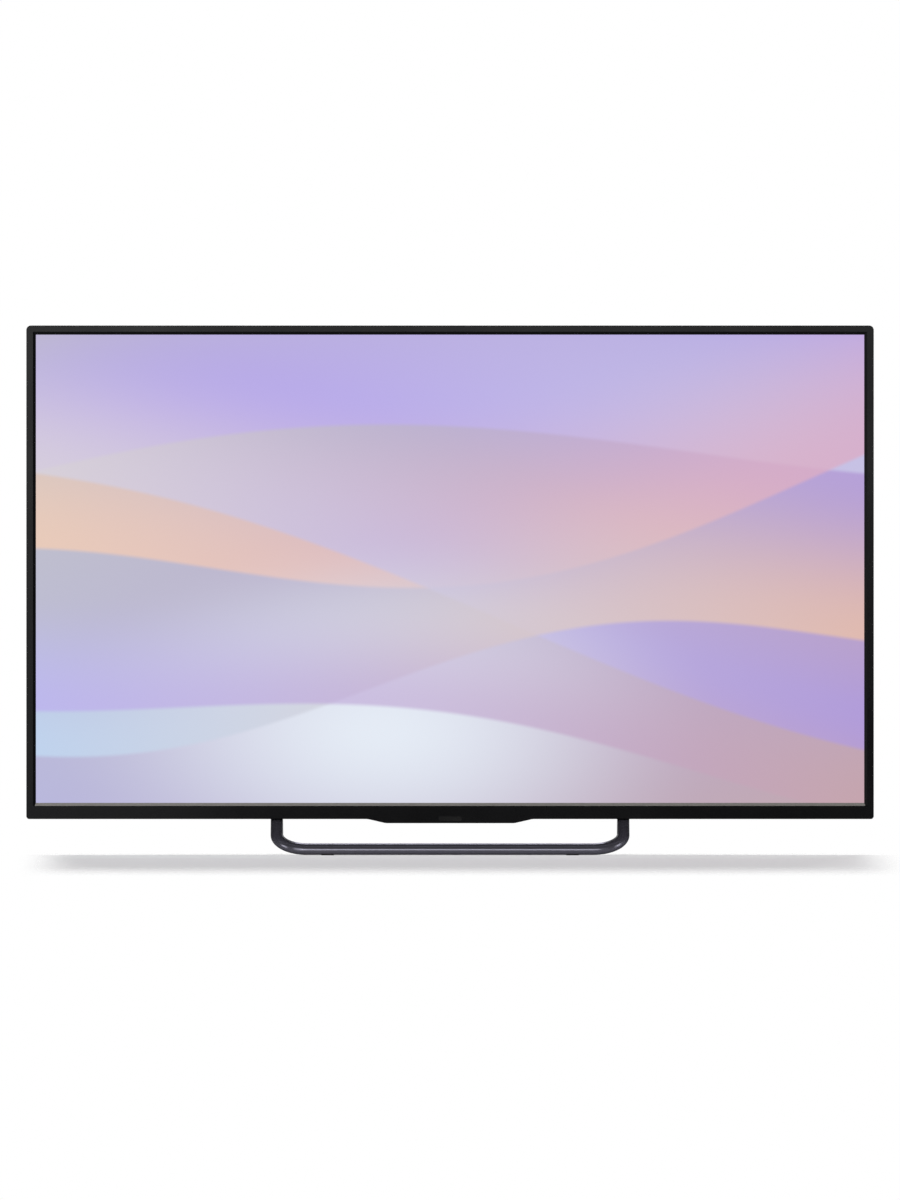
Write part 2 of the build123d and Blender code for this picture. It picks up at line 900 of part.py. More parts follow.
def tuner_box():
    """Shielded tuner with the antenna socket on its lower end."""
    width, height, depth = tuner_out
    x, y = -width / 4, height / 2
    can = block(around(0, width / 2), (0, height), (0, depth))
    ring = peg(antenna_r, antenna_len, (x, y, -antenna_len), UP)
    ring -= peg(antenna_r - antenna_ring, antenna_len, (x, y, -antenna_len), UP)
    pin = peg(antenna_pin_r, antenna_len, (x, y, -antenna_len), UP)
    return on_low(low_at[0]) * (can + ring + pin)


def row_span(centres, row, margin):
    """Low and high ends of a row of sockets, with a margin beyond."""
    low = centres[0] - row[0][0] / 2 - margin
    return (low, centres[-1] + row[-1][0] / 2 + margin)


def row_depths(row, margin):
    """Depths of a row's lowest and highest faces off the board, with a margin."""
    tallest = max(out[1] for out in row)
    return (board_back - margin, board_back + tallest + margin)


def side_plate():
    """Thin plate inside the side bay's wall, pierced for its sockets."""
    x = (side_bay_x + cover_wall, side_bay_x + cover_wall + plate_sheet)
    lap = wall_lap + plate_lap
    sheet = block(x, row_depths(side_row, lap), row_span(side_at, side_row, lap))
    for z, (width, height, _) in zip(side_at, side_row):
        y = (board_back - hair_gap, board_back + height + hair_gap)
        sheet -= block((x[0] - overrun, x[1] + overrun), y, around(z, width / 2 + hair_gap))
    return sheet


def low_plate():
    """Thin plate inside the lower bay's wall, pierced for its sockets."""
    z = (low_bay_z + cover_wall, low_bay_z + cover_wall + plate_sheet)
    lap = wall_lap + plate_lap
    sheet = block(row_span(low_at, low_row, lap), row_depths(low_row, lap), z)
    for x, (width, height, _) in zip(low_at, low_row):
        y = (board_back - hair_gap, board_back + height + hair_gap)
        sheet -= block(around(x, width / 2 + hair_gap), y, (z[0] - overrun, z[1] + overrun))
    return sheet


# Power board, its parts and the mains inlet
transformer_size = (34.0, 26.0, 30.0)
transformer_inset = ((120.0, 84.0), (62.0, 112.0))
core_proud = 3.0
cap_r = 9.0
cap_h = 28.0
cap_inset = ((168.0, 75.0), (190.0, 75.0), (168.0, 99.0))
power_fin = (3.0, 24.0, 52.0)
power_fin_inset = ((146.0, 75.0), (28.0, 75.0))


def on_power(insets):
    """Places (x, z) on the power board, from insets off its lower left corner."""
    return [(power_x[0] + x, board_z0 + z) for x, z in insets]


def mains_inlet():
    """Two-pin mains inlet on the power board's lower edge."""
    width, height, depth = inlet_out
    mouth = depth * mouth_len_share
    body = box_socket(inlet_out, inlet_in, None)
    for side in sides:
        base = (side * inlet_pin_gap / 2, height / 2, mouth - inlet_pin_len)
        body += peg(inlet_pin_r, inlet_pin_len + hair_gap, base, UP)
    return on_low(inlet_at) * body


def power_transformers():
    """Wound blocks with a core that stands proud of the winding."""
    width, height, depth = transformer_size
    blocks = []
    for x, z in on_power(transformer_inset):
        y = (board_back, board_back + height)
        core_y = (board_back + core_proud, board_back + height - core_proud)
        core = block(around(x, width / 2), core_y, around(z, depth / 4))
        winding = block(around(x, width / 2 - core_proud), y, around(z, depth / 2))
        blocks.append(core + winding)
    return blocks


def power_capacitors():
    """Round capacitors that stand on the power board."""
    return [peg(cap_r, cap_h, (x, board_back, z), BACK) for x, z in on_power(cap_inset)]


def power_heat_sinks():
    """Upright cooling plates on the power board."""
    width, height, depth = power_fin
    y = (board_back, board_back + height)
    return [block(around(x, width / 2), y, around(z, depth / 2)) for x, z in on_power(power_fin_inset)]


# Speakers under the boards
bulge_low = 14.0
bulge_low_lean = 9.0
bulge_top = 420.0
bulge_top_lean = 36.0
bulge_half = 356.0
bulge_side_lean = 18.0
bulge_corner = 18.0
bulge_low_back = bulge_low + bulge_low_lean
bulge_top_back = bulge_top - bulge_top_lean
bulge_half_back = bulge_half - bulge_side_lean
speaker_w_share = 0.532
speaker_gap_share = 0.116
speaker_d = 33.6
speaker_roof = 1.6
speaker_rise = 1.6
speaker_wall = 2.0
pad_h = 2.6
driver_r = 13.0
driver_frame_r = 15.0
driver_frame_h = 1.2
cone_h = 9.0
cone_neck_r = 6.0
cone_thick = 1.0
magnet_r = 11.0
magnet_h = 8.0
pad_r = 5.0
speaker_room = bulge_half_back - cover_wall - (leg_x + shelf_half)
speaker_x1 = bulge_half_back - cover_wall - speaker_room * speaker_gap_share
speaker_x = (speaker_x1 - speaker_room * speaker_w_share, speaker_x1)
speaker_y = (pan_back_y + pad_h, pan_back_y + pad_h + speaker_d)
speaker_z0 = body_z0 + bulge_low_back + cover_wall + driver_frame_h + speaker_rise
speaker_z = (speaker_z0, side_bay_z[0] - cover_wall - speaker_roof)


def speaker_centre(side):
    """Centre of a driver, on the box's lower face."""
    x = side * (speaker_x[0] + speaker_x[1]) / 2
    return (x, (speaker_y[0] + speaker_y[1]) / 2, speaker_z[0])


def speaker_boxes():
    """Closed boxes, each with a round hole for its driver."""
    return both(speaker_box)


def speaker_box(side):
    """One speaker's box."""
    low, high = sorted((side * speaker_x[0], side * speaker_x[1]))
    box = block((low, high), speaker_y, speaker_z)
    wall = speaker_wall
    inside_y = (speaker_y[0] + wall, speaker_y[1] - wall)
    inside_z = (speaker_z[0] + wall, speaker_z[1] - wall)
    box -= block((low + wall, high - wall), inside_y, inside_z)
    return box - peg(driver_r, wall, speaker_centre(side), UP)


def speaker_drivers():
    """Frame ring and cone of each driver."""

    def driver(side):
        x, y, z = speaker_centre(side)
        ring = peg(driver_frame_r, driver_frame_h, (x, y, z - driver_frame_h), UP)
        ring -= peg(driver_r - cone_thick, driver_frame_h, (x, y, z - driver_frame_h), UP)
        align = (Align.CENTER, Align.CENTER, Align.MIN)
        base = Pos(x, y, z - driver_frame_h)
        outer = base * Cone(driver_r - hair_gap, cone_neck_r, cone_h, align=align)
        inner_r = driver_r - hair_gap - cone_thick
        inner = base * Cone(inner_r, cone_neck_r - cone_thick, cone_h, align=align)
        return ring + (outer - inner)

    return both(driver)


def speaker_magnets():
    """Round magnet behind each cone."""

    def magnet(side):
        x, y, z = speaker_centre(side)
        return peg(magnet_r, magnet_h, (x, y, z - driver_frame_h + cone_h), UP)

    return both(magnet)


def speaker_pads():
    """Rubber pads between the pan and the speaker boxes."""
    pads = []
    for side in sides:
        x = speaker_centre(side)[0]
        for z in (speaker_z[0] + 2 * pad_r, speaker_z[1] - 2 * pad_r):
            pads.append(peg(pad_r, speaker_y[0] - pan_back_y, (x, pan_back_y, z), BACK))
    return pads


# Rear cover: slim shell, deep lower bulge, bays, vents and stand sockets
cover_step = 0.4
cover_taper = 7.6
socket_roof = 2.2
room_gap = 1.0
vent_w = 3.2
vent_h = 26.0
vent_pitch = 8.0
vent_margin = 60.0
vent_rises = (346.0, 262.0)
grille_w = 2.4
grille_pitch = 5.0
aperture_play = 0.6
back_edge_r = 3.0
shelf_z = saddle_z + tube_thick / 2 + fit_gap + socket_roof


def bulge_face(inset, back):
    """Outline of the bulge where it leaves the slim part, or at its back."""
    half = (bulge_half_back if back else bulge_half) - inset
    low = body_z0 + (bulge_low_back if back else bulge_low) + inset
    high = body_z0 + (bulge_top_back if back else bulge_top) - inset
    shape = RectangleRounded(2 * half, high - low, bulge_corner - inset)
    return Pos(0, (low + high) / 2) * shape


def bays(grow):
    """The terminal bays cut from the bulge, grown by a wall's thickness."""
    y = (bay_y - grow, back_y + overrun)
    side_x = (-bulge_half - overrun, side_bay_x + grow)
    side = block(side_x, y, (side_bay_z[0] - grow, side_bay_z[1] + grow))
    down = (body_z0 - overrun, low_bay_z + grow)
    low = block((low_bay_x[0] - grow, low_bay_x[1] + grow), y, down)
    mains = block((mains_bay_x[0] - grow, mains_bay_x[1] + grow), y, down)
    return [side, low, mains]


def stand_rooms(side):
    """Outer block and inner room of a stand socket under the bulge."""
    x = side * leg_x
    top = body_z0 + socket_top
    y = (slim_y - cover_wall, socket_back_y)
    outer = block(around(x, socket_half), y, (body_z0 + socket_low, top))
    inner_x = around(x, socket_half - cover_wall)
    inner_y = (pan_back_y + hair_gap, socket_back_y - cover_wall)
    return outer, block(inner_x, inner_y, (shelf_z, top + cover_wall))


def vents():
    """Two long rows of upright vent slots through the bulge's back."""
    half = bulge_half_back - vent_margin
    y = (back_y - cover_wall - overrun, back_y + overrun)
    slots = []
    for rise in vent_rises:
        z = (body_z0 + rise, body_z0 + rise + vent_h)
        for x in spread(-half, half, int(2 * half / vent_pitch)):
            slots.append(block(around(x, vent_w / 2), y, z))
    return slots


def speaker_grilles():
    """Slots through the bulge's underside, below each driver."""
    slots = []
    reach = driver_r + grille_pitch
    z = (body_z0, speaker_z[0] - driver_frame_h)
    for side in sides:
        x0, y0, _ = speaker_centre(side)
        for x in spread(x0 - reach, x0 + reach, int(2 * reach / grille_pitch)):
            slots.append(block(around(x, grille_w / 2), around(y0, driver_r), z))
    return slots


def cover_holes():
    """Holes for the cover's screws, with seats for their heads, and for the wall-mount posts."""
    holes = []
    for x, z in vesa_places():
        depth = cover_wall + 2 * overrun
        holes.append(peg(vesa_post_r + vesa_ring_gap, depth, (x, back_y + overrun, z), FRONT))
    for x, z in cover_screw_places():
        base = (x, slim_y + overrun, z)
        holes.append(peg(cover_screw_r + screw_play, cover_wall + overrun, base, FRONT))
        holes.append(peg(cover_head_r + screw_play, cover_sink + overrun, base, FRONT))
    return holes


def bay_apertures():
    """Openings in the bay walls, one for each row of sockets and one for the mains inlet."""
    through = (-overrun, cover_wall + overrun)
    side_x = (side_bay_x + through[0], side_bay_x + through[1])
    low_z = (low_bay_z + through[0], low_bay_z + through[1])
    side_hole = block(side_x, row_depths(side_row, wall_lap), row_span(side_at, side_row, wall_lap))
    low_hole = block(row_span(low_at, low_row, wall_lap), row_depths(low_row, wall_lap), low_z)
    width, height, _ = inlet_out
    y = (board_back - aperture_play, board_back + height + aperture_play)
    mains_hole = block(around(inlet_at, width / 2 + aperture_play), y, low_z)
    return [side_hole, low_hole, mains_hole]


def slim_shape(inset, y1):
    """Tapered slim part from the bezel's rim back to a depth, drawn in by inset."""
    faces = [upright(rim_y) * body_face(inset), upright(y1) * body_face(inset + cover_taper)]
    return loft(faces, ruled=True)


def bulge_shape(inset, y1):
    """Tapered bulge from the slim part back to a depth, drawn in by inset."""
    faces = [upright(slim_y) * bulge_face(inset, False), upright(y1) * bulge_face(inset, True)]
    return loft(faces, ruled=True)


def leg_channels():
    """Channels that the saddles lie in, and the holes of their screws."""
    cuts = []
    for side in sides:
        x = around(side * leg_x, channel_half)
        z = (drop_z, saddle_z + tube_thick / 2 + fit_gap)
        cuts.append(block(x, (rim_y - overrun, back_y), z))
        for y in stand_screw_y:
            cuts.append(peg(stand_screw_r + screw_play, tube_thick, (side * leg_x, y, saddle_z), UP))
    return cuts


def rear_cover():
    """Moulded shell that closes the back."""
    inner_y = slim_y - cover_wall
    wall = cover_step + cover_wall
    slim = slim_shape(cover_step, slim_y)
    bulge = bulge_shape(0, back_y)
    bulge = fillet(bulge.faces().sort_by(Axis.Y)[-1].edges(), back_edge_r)
    rooms = both(stand_rooms)
    outer = slim + bulge + [room[0] for room in rooms]
    inner = slim_shape(wall, inner_y) + bulge_shape(cover_wall, back_y - cover_wall)
    inner += plate(bulge_face(cover_wall, False), inner_y, slim_y)
    inner += [room[1] for room in rooms]
    cover = (outer - bays(0)) - (inner - bays(cover_wall))
    for side in sides:
        x = around(side * leg_x, channel_half + bezel_wall)
        cover += block(x, (rim_y, slim_y), (body_z0, shelf_z)) & slim
    return cover - leg_channels() - vents() - speaker_grilles() - cover_holes() - bay_apertures()


def rear_cover_screws():
    """Screws round the slim part."""
    sizes = (cover_screw_r, cover_head_r, cover_head_h, cover_screw_len - cover_wall)
    places = cover_screw_places()
    return [screw(*sizes, (x, slim_y - cover_sink, z), FRONT) for x, z in places]


# Stand: two hoops of oval tube, joined over each leg by a cast saddle
saddle_bend_r = 14.0
joint_along = 70.0
spigot_len = 15.0
spigot_gap = 0.15
stand_screw_y = (-1.0, 9.5)
stand_screw_r = 2.5
stand_head_r = 4.2
stand_head_h = 2.8
stand_head_sink = 3.6
stand_screw_len = 20.0
nut_r = 4.6
nut_h = 4.0
shelf_thick = 3.0
flange_h = 40.0
foot_len = 14.0
foot_wide = 9.0
foot_h = 2.6
foot_inset = 24.0
slope = radians(hoop_slope)


def oval(shrink):
    """The tube's section, drawn in by a wall or a clearance."""
    return Ellipse(tube_wide / 2 - shrink, tube_thick / 2 - shrink)


def hoop_plane():
    """Plane of the front hoop: x is X, y runs up and back along the legs."""
    return Plane(origin=(0, -bar_y, bar_z), x_dir=(1, 0, 0), z_dir=(0, -sin(slope), cos(slope)))


def front_hoop():
    """Front bar and its two legs, bent from one open-ended tube."""
    points = [(-leg_x, joint_along), (-leg_x, 0), (leg_x, 0), (leg_x, joint_along)]
    path = hoop_plane() * FilletPolyline(*points, radius=hoop_bend_r)
    start = hoop_plane().from_local_coords((-leg_x, joint_along, 0))
    along = hoop_plane().y_dir
    section = Plane(origin=start, x_dir=(1, 0, 0), z_dir=-along)
    tube = sweep(section * oval(0), path=path)
    return tube - sweep(section * oval(tube_wall), path=path)


def rear_hoop():
    """The same hoop turned to the back."""
    return mirror(front_hoop(), about=Plane.XZ)


def saddle_points(extra):
    """(y, z) of the saddle's line, with its ends carried on by a length."""
    reach = joint_along + extra
    end_y = bar_y - reach * cos(slope)
    end_z = bar_z + reach * sin(slope)
    knee_y = bar_y - (saddle_z - bar_z) / tan(slope)
    return [(-end_y, end_z), (-knee_y, saddle_z), (knee_y, saddle_z), (end_y, end_z)]


def saddle(side):
    """Cast bar over the body's depth, with spigots that enter both hoops."""
    plane = Plane(origin=(side * leg_x, 0, 0), x_dir=(0, 1, 0), z_dir=(1, 0, 0))

    def bar(extra, shrink):
        points = saddle_points(extra)
        path = plane * FilletPolyline(*points, radius=saddle_bend_r)
        start = plane.from_local_coords((*points[0], 0))
        section = Plane(origin=start, x_dir=(1, 0, 0), z_dir=(0, cos(slope), sin(slope)))
        return sweep(section * oval(shrink), path=path)

    body = bar(0, 0) + bar(-spigot_len, tube_wall + spigot_gap)
    for y in stand_screw_y:
        low = (side * leg_x, y, saddle_z - tube_thick)
        body -= peg(stand_screw_r + screw_play, 2 * tube_thick, low, UP)
        sink = tube_thick / 2 + stand_head_sink
        body -= peg(stand_head_r + screw_play, sink, low, UP)
    return body


def stand_anchors():
    """Steel brackets on the pan that the stand screws bite in."""

    def anchor(side):
        x = around(side * leg_x, shelf_half)
        y = (pan_back_y + hair_gap, socket_back_y - cover_wall - room_gap)
        shelf = block(x, y, (shelf_z, shelf_z + shelf_thick))
        flange = block(x, (y[0], y[0] + shelf_thick), (shelf_z, shelf_z + flange_h))
        body = shelf + flange
        for screw_y in stand_screw_y:
            body += peg(nut_r, nut_h, (side * leg_x, screw_y, shelf_z + shelf_thick), UP)
        for screw_y in stand_screw_y:
            body -= peg(stand_screw_r, shelf_thick + nut_h, (side * leg_x, screw_y, shelf_z), UP)
        return body

    return both(anchor)


def stand_screws():
    """Screws up through the saddles into the anchors."""
    sizes = (stand_screw_r, stand_head_r, stand_head_h, stand_screw_len)
    seat = saddle_z - tube_thick / 2 + stand_head_sink
    return [screw(*sizes, (side * leg_x, y, seat), UP) for side in sides for y in stand_screw_y]


def foot_pads():
    """Rubber pads under the ends of both bars, hollowed to the tube."""
    pads = []
    for side in sides:
        x = side * (leg_x - hoop_bend_r - foot_inset)
        for end in sides:
            y = end * bar_y
            pad = block(around(x, foot_len / 2), around(y, foot_wide / 2), (0, foot_h))
            lean = (0, -end * cos(slope), sin(slope))
            section = Plane(origin=(x - foot_len, y, bar_z), x_dir=lean, z_dir=(1, 0, 0))
            pads.append(pad - extrude(section * oval(0), amount=2 * foot_len))
    return pads


# Leads inside the body
flat_w = 24.0
flat_thick = 0.4
flat_lap = 8.0
flat_bend = 5.0
power_lead = (12.0, 2.0)
power_lead_rise = 96.0
power_lead_hump = 6.0
power_lead_lap = 10.0
lamp_lead = (10.0, 2.0)
lamp_lead_inset = (30.0, 120.0)
key_lead = (8.0, 0.8)
key_lead_x = -40.0
key_lead_drop = 4.0
key_lead_gap = 1.6
key_lead_rise = 9.0
sound_lead = (3.0, 1.6)
sound_lead_rise = 9.0
sound_lead_y = board_y - sound_lead[1] - key_lead_gap


def lead_on_level(points, z, thick):
    """Flat lead that follows (x, y) points, between two heights."""
    strip = trace(Polyline(*points), thick)
    return extrude(Plane(origin=(0, 0, z[0])) * strip, amount=z[1] - z[0])


def timing_flex():
    """Flat cable from the timing board down to the main board."""
    high_y = pan_back_y + timing_lift + board_thick + flat_thick / 2
    low_y = board_back + flat_thick / 2
    points = [
        (high_y, timing_z[0] + flat_lap),
        (high_y, timing_z[0] - flat_bend),
        (low_y, board_z1 + flat_bend),
        (low_y, board_z1 - flat_lap),
    ]
    return ribbon(points, around(timing_x[0] + flat_w, flat_w / 2), flat_thick)


def power_bridge():
    """Lead that bridges the gap between the two large boards."""
    width, thick = power_lead
    y = board_back + thick / 2
    hump = y + power_lead_hump
    x0, x1 = main_x[1], power_x[0]
    points = [(x0 - power_lead_lap, y), (x0, hump), (x1, hump), (x1 + power_lead_lap, y)]
    lead = lead_on_level(points, around(board_z0 + power_lead_rise, width / 2), thick)
    return lead - [big_board(main_x), big_board(power_x)]


def lamp_stub():
    """Short lead from the power board to the lamp bars' plug on the pan."""
    width, thick = lamp_lead
    x = power_x[0] + lamp_lead_inset[0]
    z = board_z0 + lamp_lead_inset[1]
    return block(around(x, width / 2), (pan_back_y, board_y), around(z, thick / 2))


def key_ribbon():
    """Flat lead from the key board, back under the pan and up to the main board."""
    width, thick = key_lead
    start_y = key_y + key_board_d / 2
    start_z = key_board_z + key_board_thick / 2
    low_z = module_z0 - key_lead_gap
    back = pan_back_y + key_lead_gap
    end_z = board_z0 + key_lead_rise
    points = [
        (start_y, start_z),
        (start_y + key_lead_drop, start_z),
        (start_y + 2 * key_lead_drop, low_z),
        (back, low_z),
        (back, end_z),
        (board_y, end_z),
    ]
    return ribbon(points, around(key_lead_x, width / 2), thick)


def sound_leads():
    """Leads from both speaker boxes to the main board's front face."""
    width, thick = sound_lead
    z = around(board_z0 + sound_lead_rise, width / 2)
    leads = []
    for side, end in zip(sides, main_x):
        x = end - side * sound_lead_rise
        points = [(side * speaker_x[0], sound_lead_y), (x, sound_lead_y), (x, board_y)]
        leads.append(lead_on_level(points, z, thick))
    return leads


def wire_leads():
    """All leads that the body holds, each a piece of its own."""
    return [power_bridge(), lamp_stub(), key_ribbon(), *sound_leads()]


nodes = {
    "front_bezel": front_bezel(),
    "lower_trim_strip": lower_trim_strip(),
    "ir_window": ir_window(),
    "key_board": key_board(),
    "key_switches": key_switches(),
    "key_board_screws": key_board_screws(),
    "ir_receiver": ir_receiver(),
    "standby_light": standby_light(),
    "lcd_cell": lcd_cell(),
    "panel_frame": panel_frame(),
    "optical_films": optical_films(),
    "diffuser_plate": diffuser_plate(),
    "diffuser_posts": diffuser_posts(),
    "reflector_sheet": reflector_sheet(),
    "led_bars": led_bars(),
    "led_chips": led_chips(),
    "led_lenses": led_lenses(),
    "back_chassis": back_chassis(),
    "source_boards": source_boards(),
    "cell_flexes": cell_flexes(),
    "timing_board": timing_board(),
    "main_board": big_board(main_x),
    "power_board": big_board(power_x),
    "board_screws": board_screws(),
    "vesa_posts": vesa_posts(),
    "processor": processor(),
    "heat_sink": heat_sink(),
    "tuner_box": tuner_box(),
    "terminal_plates": [side_plate(), low_plate()],
    "timing_flex": timing_flex(),
    "wire_leads": wire_leads(),
    "hdmi_sockets": hdmi_sockets(),
    "usb_socket": usb_socket(),
    "card_slot": card_slot(),
    "lan_socket": lan_socket(),
    "optical_socket": optical_socket(),
    "headphone_jack": headphone_jack(),
    "av_jacks": av_jacks(),
    "mains_inlet": mains_inlet(),
    "power_transformers": power_transformers(),
    "power_capacitors": power_capacitors(),
    "power_heat_sinks": power_heat_sinks(),
    "speaker_boxes": speaker_boxes(),
    "speaker_drivers": speaker_drivers(),
    "speaker_magnets": speaker_magnets(),
    "speaker_pads": speaker_pads(),
    "rear_cover": rear_cover(),
    "rear_cover_screws": rear_cover_screws(),
    "stand_front_hoop": front_hoop(),
    "stand_rear_hoop": rear_hoop(),
    "stand_saddles": both(saddle),
    "stand_anchors": stand_anchors(),
    "stand_screws": stand_screws(),
    "foot_pads": foot_pads(),
}
key_names = ("power", "source", "volume_down", "volume_up", "channel_down", "channel_up")
for name, x in zip(key_names, key_places()):
    nodes["key_" + name] = key(x)

os.makedirs("parts", exist_ok=True)
for name, shape in nodes.items():
    piece = Compound(children=list(shape)) if isinstance(shape, list) else shape
    export_step(piece, f"parts/{name}.step")
    print(name, len(piece.solids()))
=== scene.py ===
"""Looks of a flat screen television on a stand of two hoops, dressed over its construction model."""
import logging
import math
from dataclasses import dataclass
from enum import Enum
from functools import lru_cache

import bmesh
import bpy
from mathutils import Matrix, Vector


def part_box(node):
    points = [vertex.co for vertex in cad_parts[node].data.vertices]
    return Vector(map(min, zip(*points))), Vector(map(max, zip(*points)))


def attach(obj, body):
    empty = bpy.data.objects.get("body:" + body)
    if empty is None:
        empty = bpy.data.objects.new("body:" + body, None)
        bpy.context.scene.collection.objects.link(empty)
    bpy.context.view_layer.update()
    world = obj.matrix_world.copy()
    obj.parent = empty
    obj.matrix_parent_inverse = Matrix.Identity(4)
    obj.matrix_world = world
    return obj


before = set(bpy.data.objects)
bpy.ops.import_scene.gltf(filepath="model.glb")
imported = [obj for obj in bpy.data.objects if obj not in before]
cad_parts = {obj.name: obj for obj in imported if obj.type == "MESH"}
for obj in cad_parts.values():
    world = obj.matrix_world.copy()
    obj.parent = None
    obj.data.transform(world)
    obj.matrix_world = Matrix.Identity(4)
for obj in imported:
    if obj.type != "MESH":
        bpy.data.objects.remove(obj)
log = logging.getLogger("television")

MM = 0.001
SET = "set"
# The standard's curve: a straight start up to a knee, then a power of the shifted level
SRGB_KNEE = 0.04045
SRGB_START = 12.92
SRGB_SHIFT = 0.055
SRGB_POWER = 2.4
BYTE = 255
UNIT = (0.0, 1.0)
WHITE = (1.0, 1.0, 1.0, 1.0)
Colour = tuple[float, float, float, float]
Outline = list[tuple[float, float]]
Span = tuple[float, float]
Socket = bpy.types.NodeSocket
Tree = bpy.types.NodeTree


def linear(code: str) -> Colour:
    """Turns an sRGB hex colour into the linear values that shaders take, by the standard's curve.

    Args:
        code: Six hex digits after a hash, such as "#15191C".

    Returns:
        Red, green and blue as linear values, and an alpha of 1.
    """
    values = []
    for start in (1, 3, 5):
        level = int(code[start:start + 2], 16) / BYTE
        if level <= SRGB_KNEE:
            values.append(level / SRGB_START)
        else:
            values.append(((level + SRGB_SHIFT) / (1 + SRGB_SHIFT)) ** SRGB_POWER)
    return (values[0], values[1], values[2], 1.0)


def feed(tree: Tree, node: bpy.types.Node, inputs: dict) -> None:
    """Gives a node its input values and its links.

    Args:
        tree: The tree that holds the node.
        node: The node.
        inputs: A value or a linked socket for each input, by name or place.
    """
    for name, value in inputs.items():
        if isinstance(value, Socket):
            tree.links.new(value, node.inputs[name])
        else:
            node.inputs[name].default_value = value


def add_node(tree: Tree, kind: str, inputs: dict | None = None, **settings) -> bpy.types.Node:
    """Adds one node with its settings, its input values and its links.

    Args:
        tree: The tree that takes the node.
        kind: The node's type name.
        inputs: A value or a linked socket for each input, by name or place.
        settings: Properties of the node itself.

    Returns:
        The new node.
    """
    node = tree.nodes.new(kind)
    for name, value in settings.items():
        setattr(node, name, value)
    feed(tree, node, inputs or {})
    return node


def blend(tree: Tree, share: Socket, first: Socket | Colour, second: Socket | Colour) -> Socket:
    """Mixes two colours.

    Args:
        tree: The tree that takes the node.
        share: How much of the second colour shows, 0 to 1.
        first: A colour, or the socket that gives it.
        second: The other one.

    Returns:
        The mixed colour.
    """
    return add_node(tree, "ShaderNodeMix", {0: share, 6: first, 7: second}, data_type="RGBA").outputs[2]


def reckon(tree: Tree, operation: str, *values: Socket | float) -> Socket:
    """Does one sum.

    Args:
        tree: The tree that takes the node.
        operation: Blender's name for the sum.
        values: Its numbers, or the sockets that give them.

    Returns:
        The result.
    """
    return add_node(tree, "ShaderNodeMath", dict(enumerate(values)), operation=operation).outputs[0]


def spread(
    tree: Tree, value: Socket, given: Span, wanted: tuple[Socket | float, float], soft: bool = False
) -> Socket:
    """Stretches a number from one span to another, and holds it between that one's ends.

    Args:
        tree: The tree that takes the node.
        value: The number.
        given: The span that it comes in.
        wanted: The span that it is stretched to.
        soft: Whether it eases out of one end and into the other.

    Returns:
        The stretched number.
    """
    inputs = {"Value": value, "From Min": given[0], "From Max": given[1]}
    inputs |= {"To Min": wanted[0], "To Max": wanted[1]}
    way = "SMOOTHSTEP" if soft else "LINEAR"
    return add_node(tree, "ShaderNodeMapRange", inputs, interpolation_type=way).outputs[0]


def about(level: float, share: float) -> Span:
    """Gives the span from a share under a level to the same share over it.

    Args:
        level: The level.
        share: The share of it.

    Returns:
        The span.
    """
    return (level * (1 - share), level * (1 + share))


def pattern(tree: Tree, kind: str, place: Socket, size_mm: float, **inputs: float | Colour) -> bpy.types.Node:
    """Adds a pattern whose features have a size in millimetres.

    Args:
        tree: The tree that takes the node.
        kind: The pattern's node type.
        place: Where on the object it is.
        size_mm: The size of one feature.
        inputs: Further input values.

    Returns:
        The new node.
    """
    return add_node(tree, kind, {"Vector": place, "Scale": 1 / (size_mm * MM), **inputs})


def relief(tree: Tree, height: Socket, height_mm: float) -> Socket:
    """Turns a pattern into bumps.

    Args:
        tree: The tree that takes the node.
        height: The pattern.
        height_mm: How high its bumps stand.

    Returns:
        The bent normal.
    """
    return add_node(tree, "ShaderNodeBump", {"Height": height, "Distance": height_mm * MM}).outputs[0]


@dataclass(frozen=True)
class Finish:
    """A surface that pieces share; each kind of finish draws its own nodes."""

    name: str

    def shader(self) -> tuple[bpy.types.Material, Tree, bpy.types.Node, Socket]:
        """Starts the material.

        Returns:
            The material, its node tree, its one surface shader, and the place on the object.
        """
        material = bpy.data.materials.new(self.name)
        material.use_nodes = True
        tree = material.node_tree
        tree.nodes.clear()
        surface = add_node(tree, "ShaderNodeBsdfPrincipled")
        add_node(tree, "ShaderNodeOutputMaterial", {"Surface": surface.outputs[0]})
        return material, tree, surface, add_node(tree, "ShaderNodeTexCoord").outputs["Object"]

    def make(self) -> bpy.types.Material:
        """Builds the material. Each kind of finish has its own way.

        Returns:
            The material.
        """
        raise NotImplementedError


@dataclass(frozen=True)
class Moulded(Finish):
    """Moulded plastic or rubber: a slow change of tone, and the fine grain of the mould."""

    colour: str
    shade: str
    roughness: float
    rough_spread: float = 0.05
    grain_mm: float = 0.8
    grain_height_mm: float = 0.01
    grain_detail: float = 4.0
    tone_mm: float = 70.0
    tone_span: Span = (0.3, 0.7)
    specular: float = 0.4
    coat: float = 0.0

    def make(self) -> bpy.types.Material:
        """Draws the tone, the polish and the grain.

        Returns:
            The material.
        """
        material, tree, surface, place = self.shader()
        tone = pattern(tree, "ShaderNodeTexNoise", place, self.tone_mm).outputs[0]
        grain = pattern(tree, "ShaderNodeTexNoise", place, self.grain_mm, Detail=self.grain_detail)
        polish = (self.roughness - self.rough_spread, self.roughness + self.rough_spread)
        inputs = {
            "Base Color": blend(tree, tone, linear(self.colour), linear(self.shade)),
            "Roughness": spread(tree, tone, self.tone_span, polish),
            "Normal": relief(tree, grain.outputs[0], self.grain_height_mm),
            "Specular IOR Level": self.specular,
            "Coat Weight": self.coat,
        }
        feed(tree, surface, inputs)
        return material


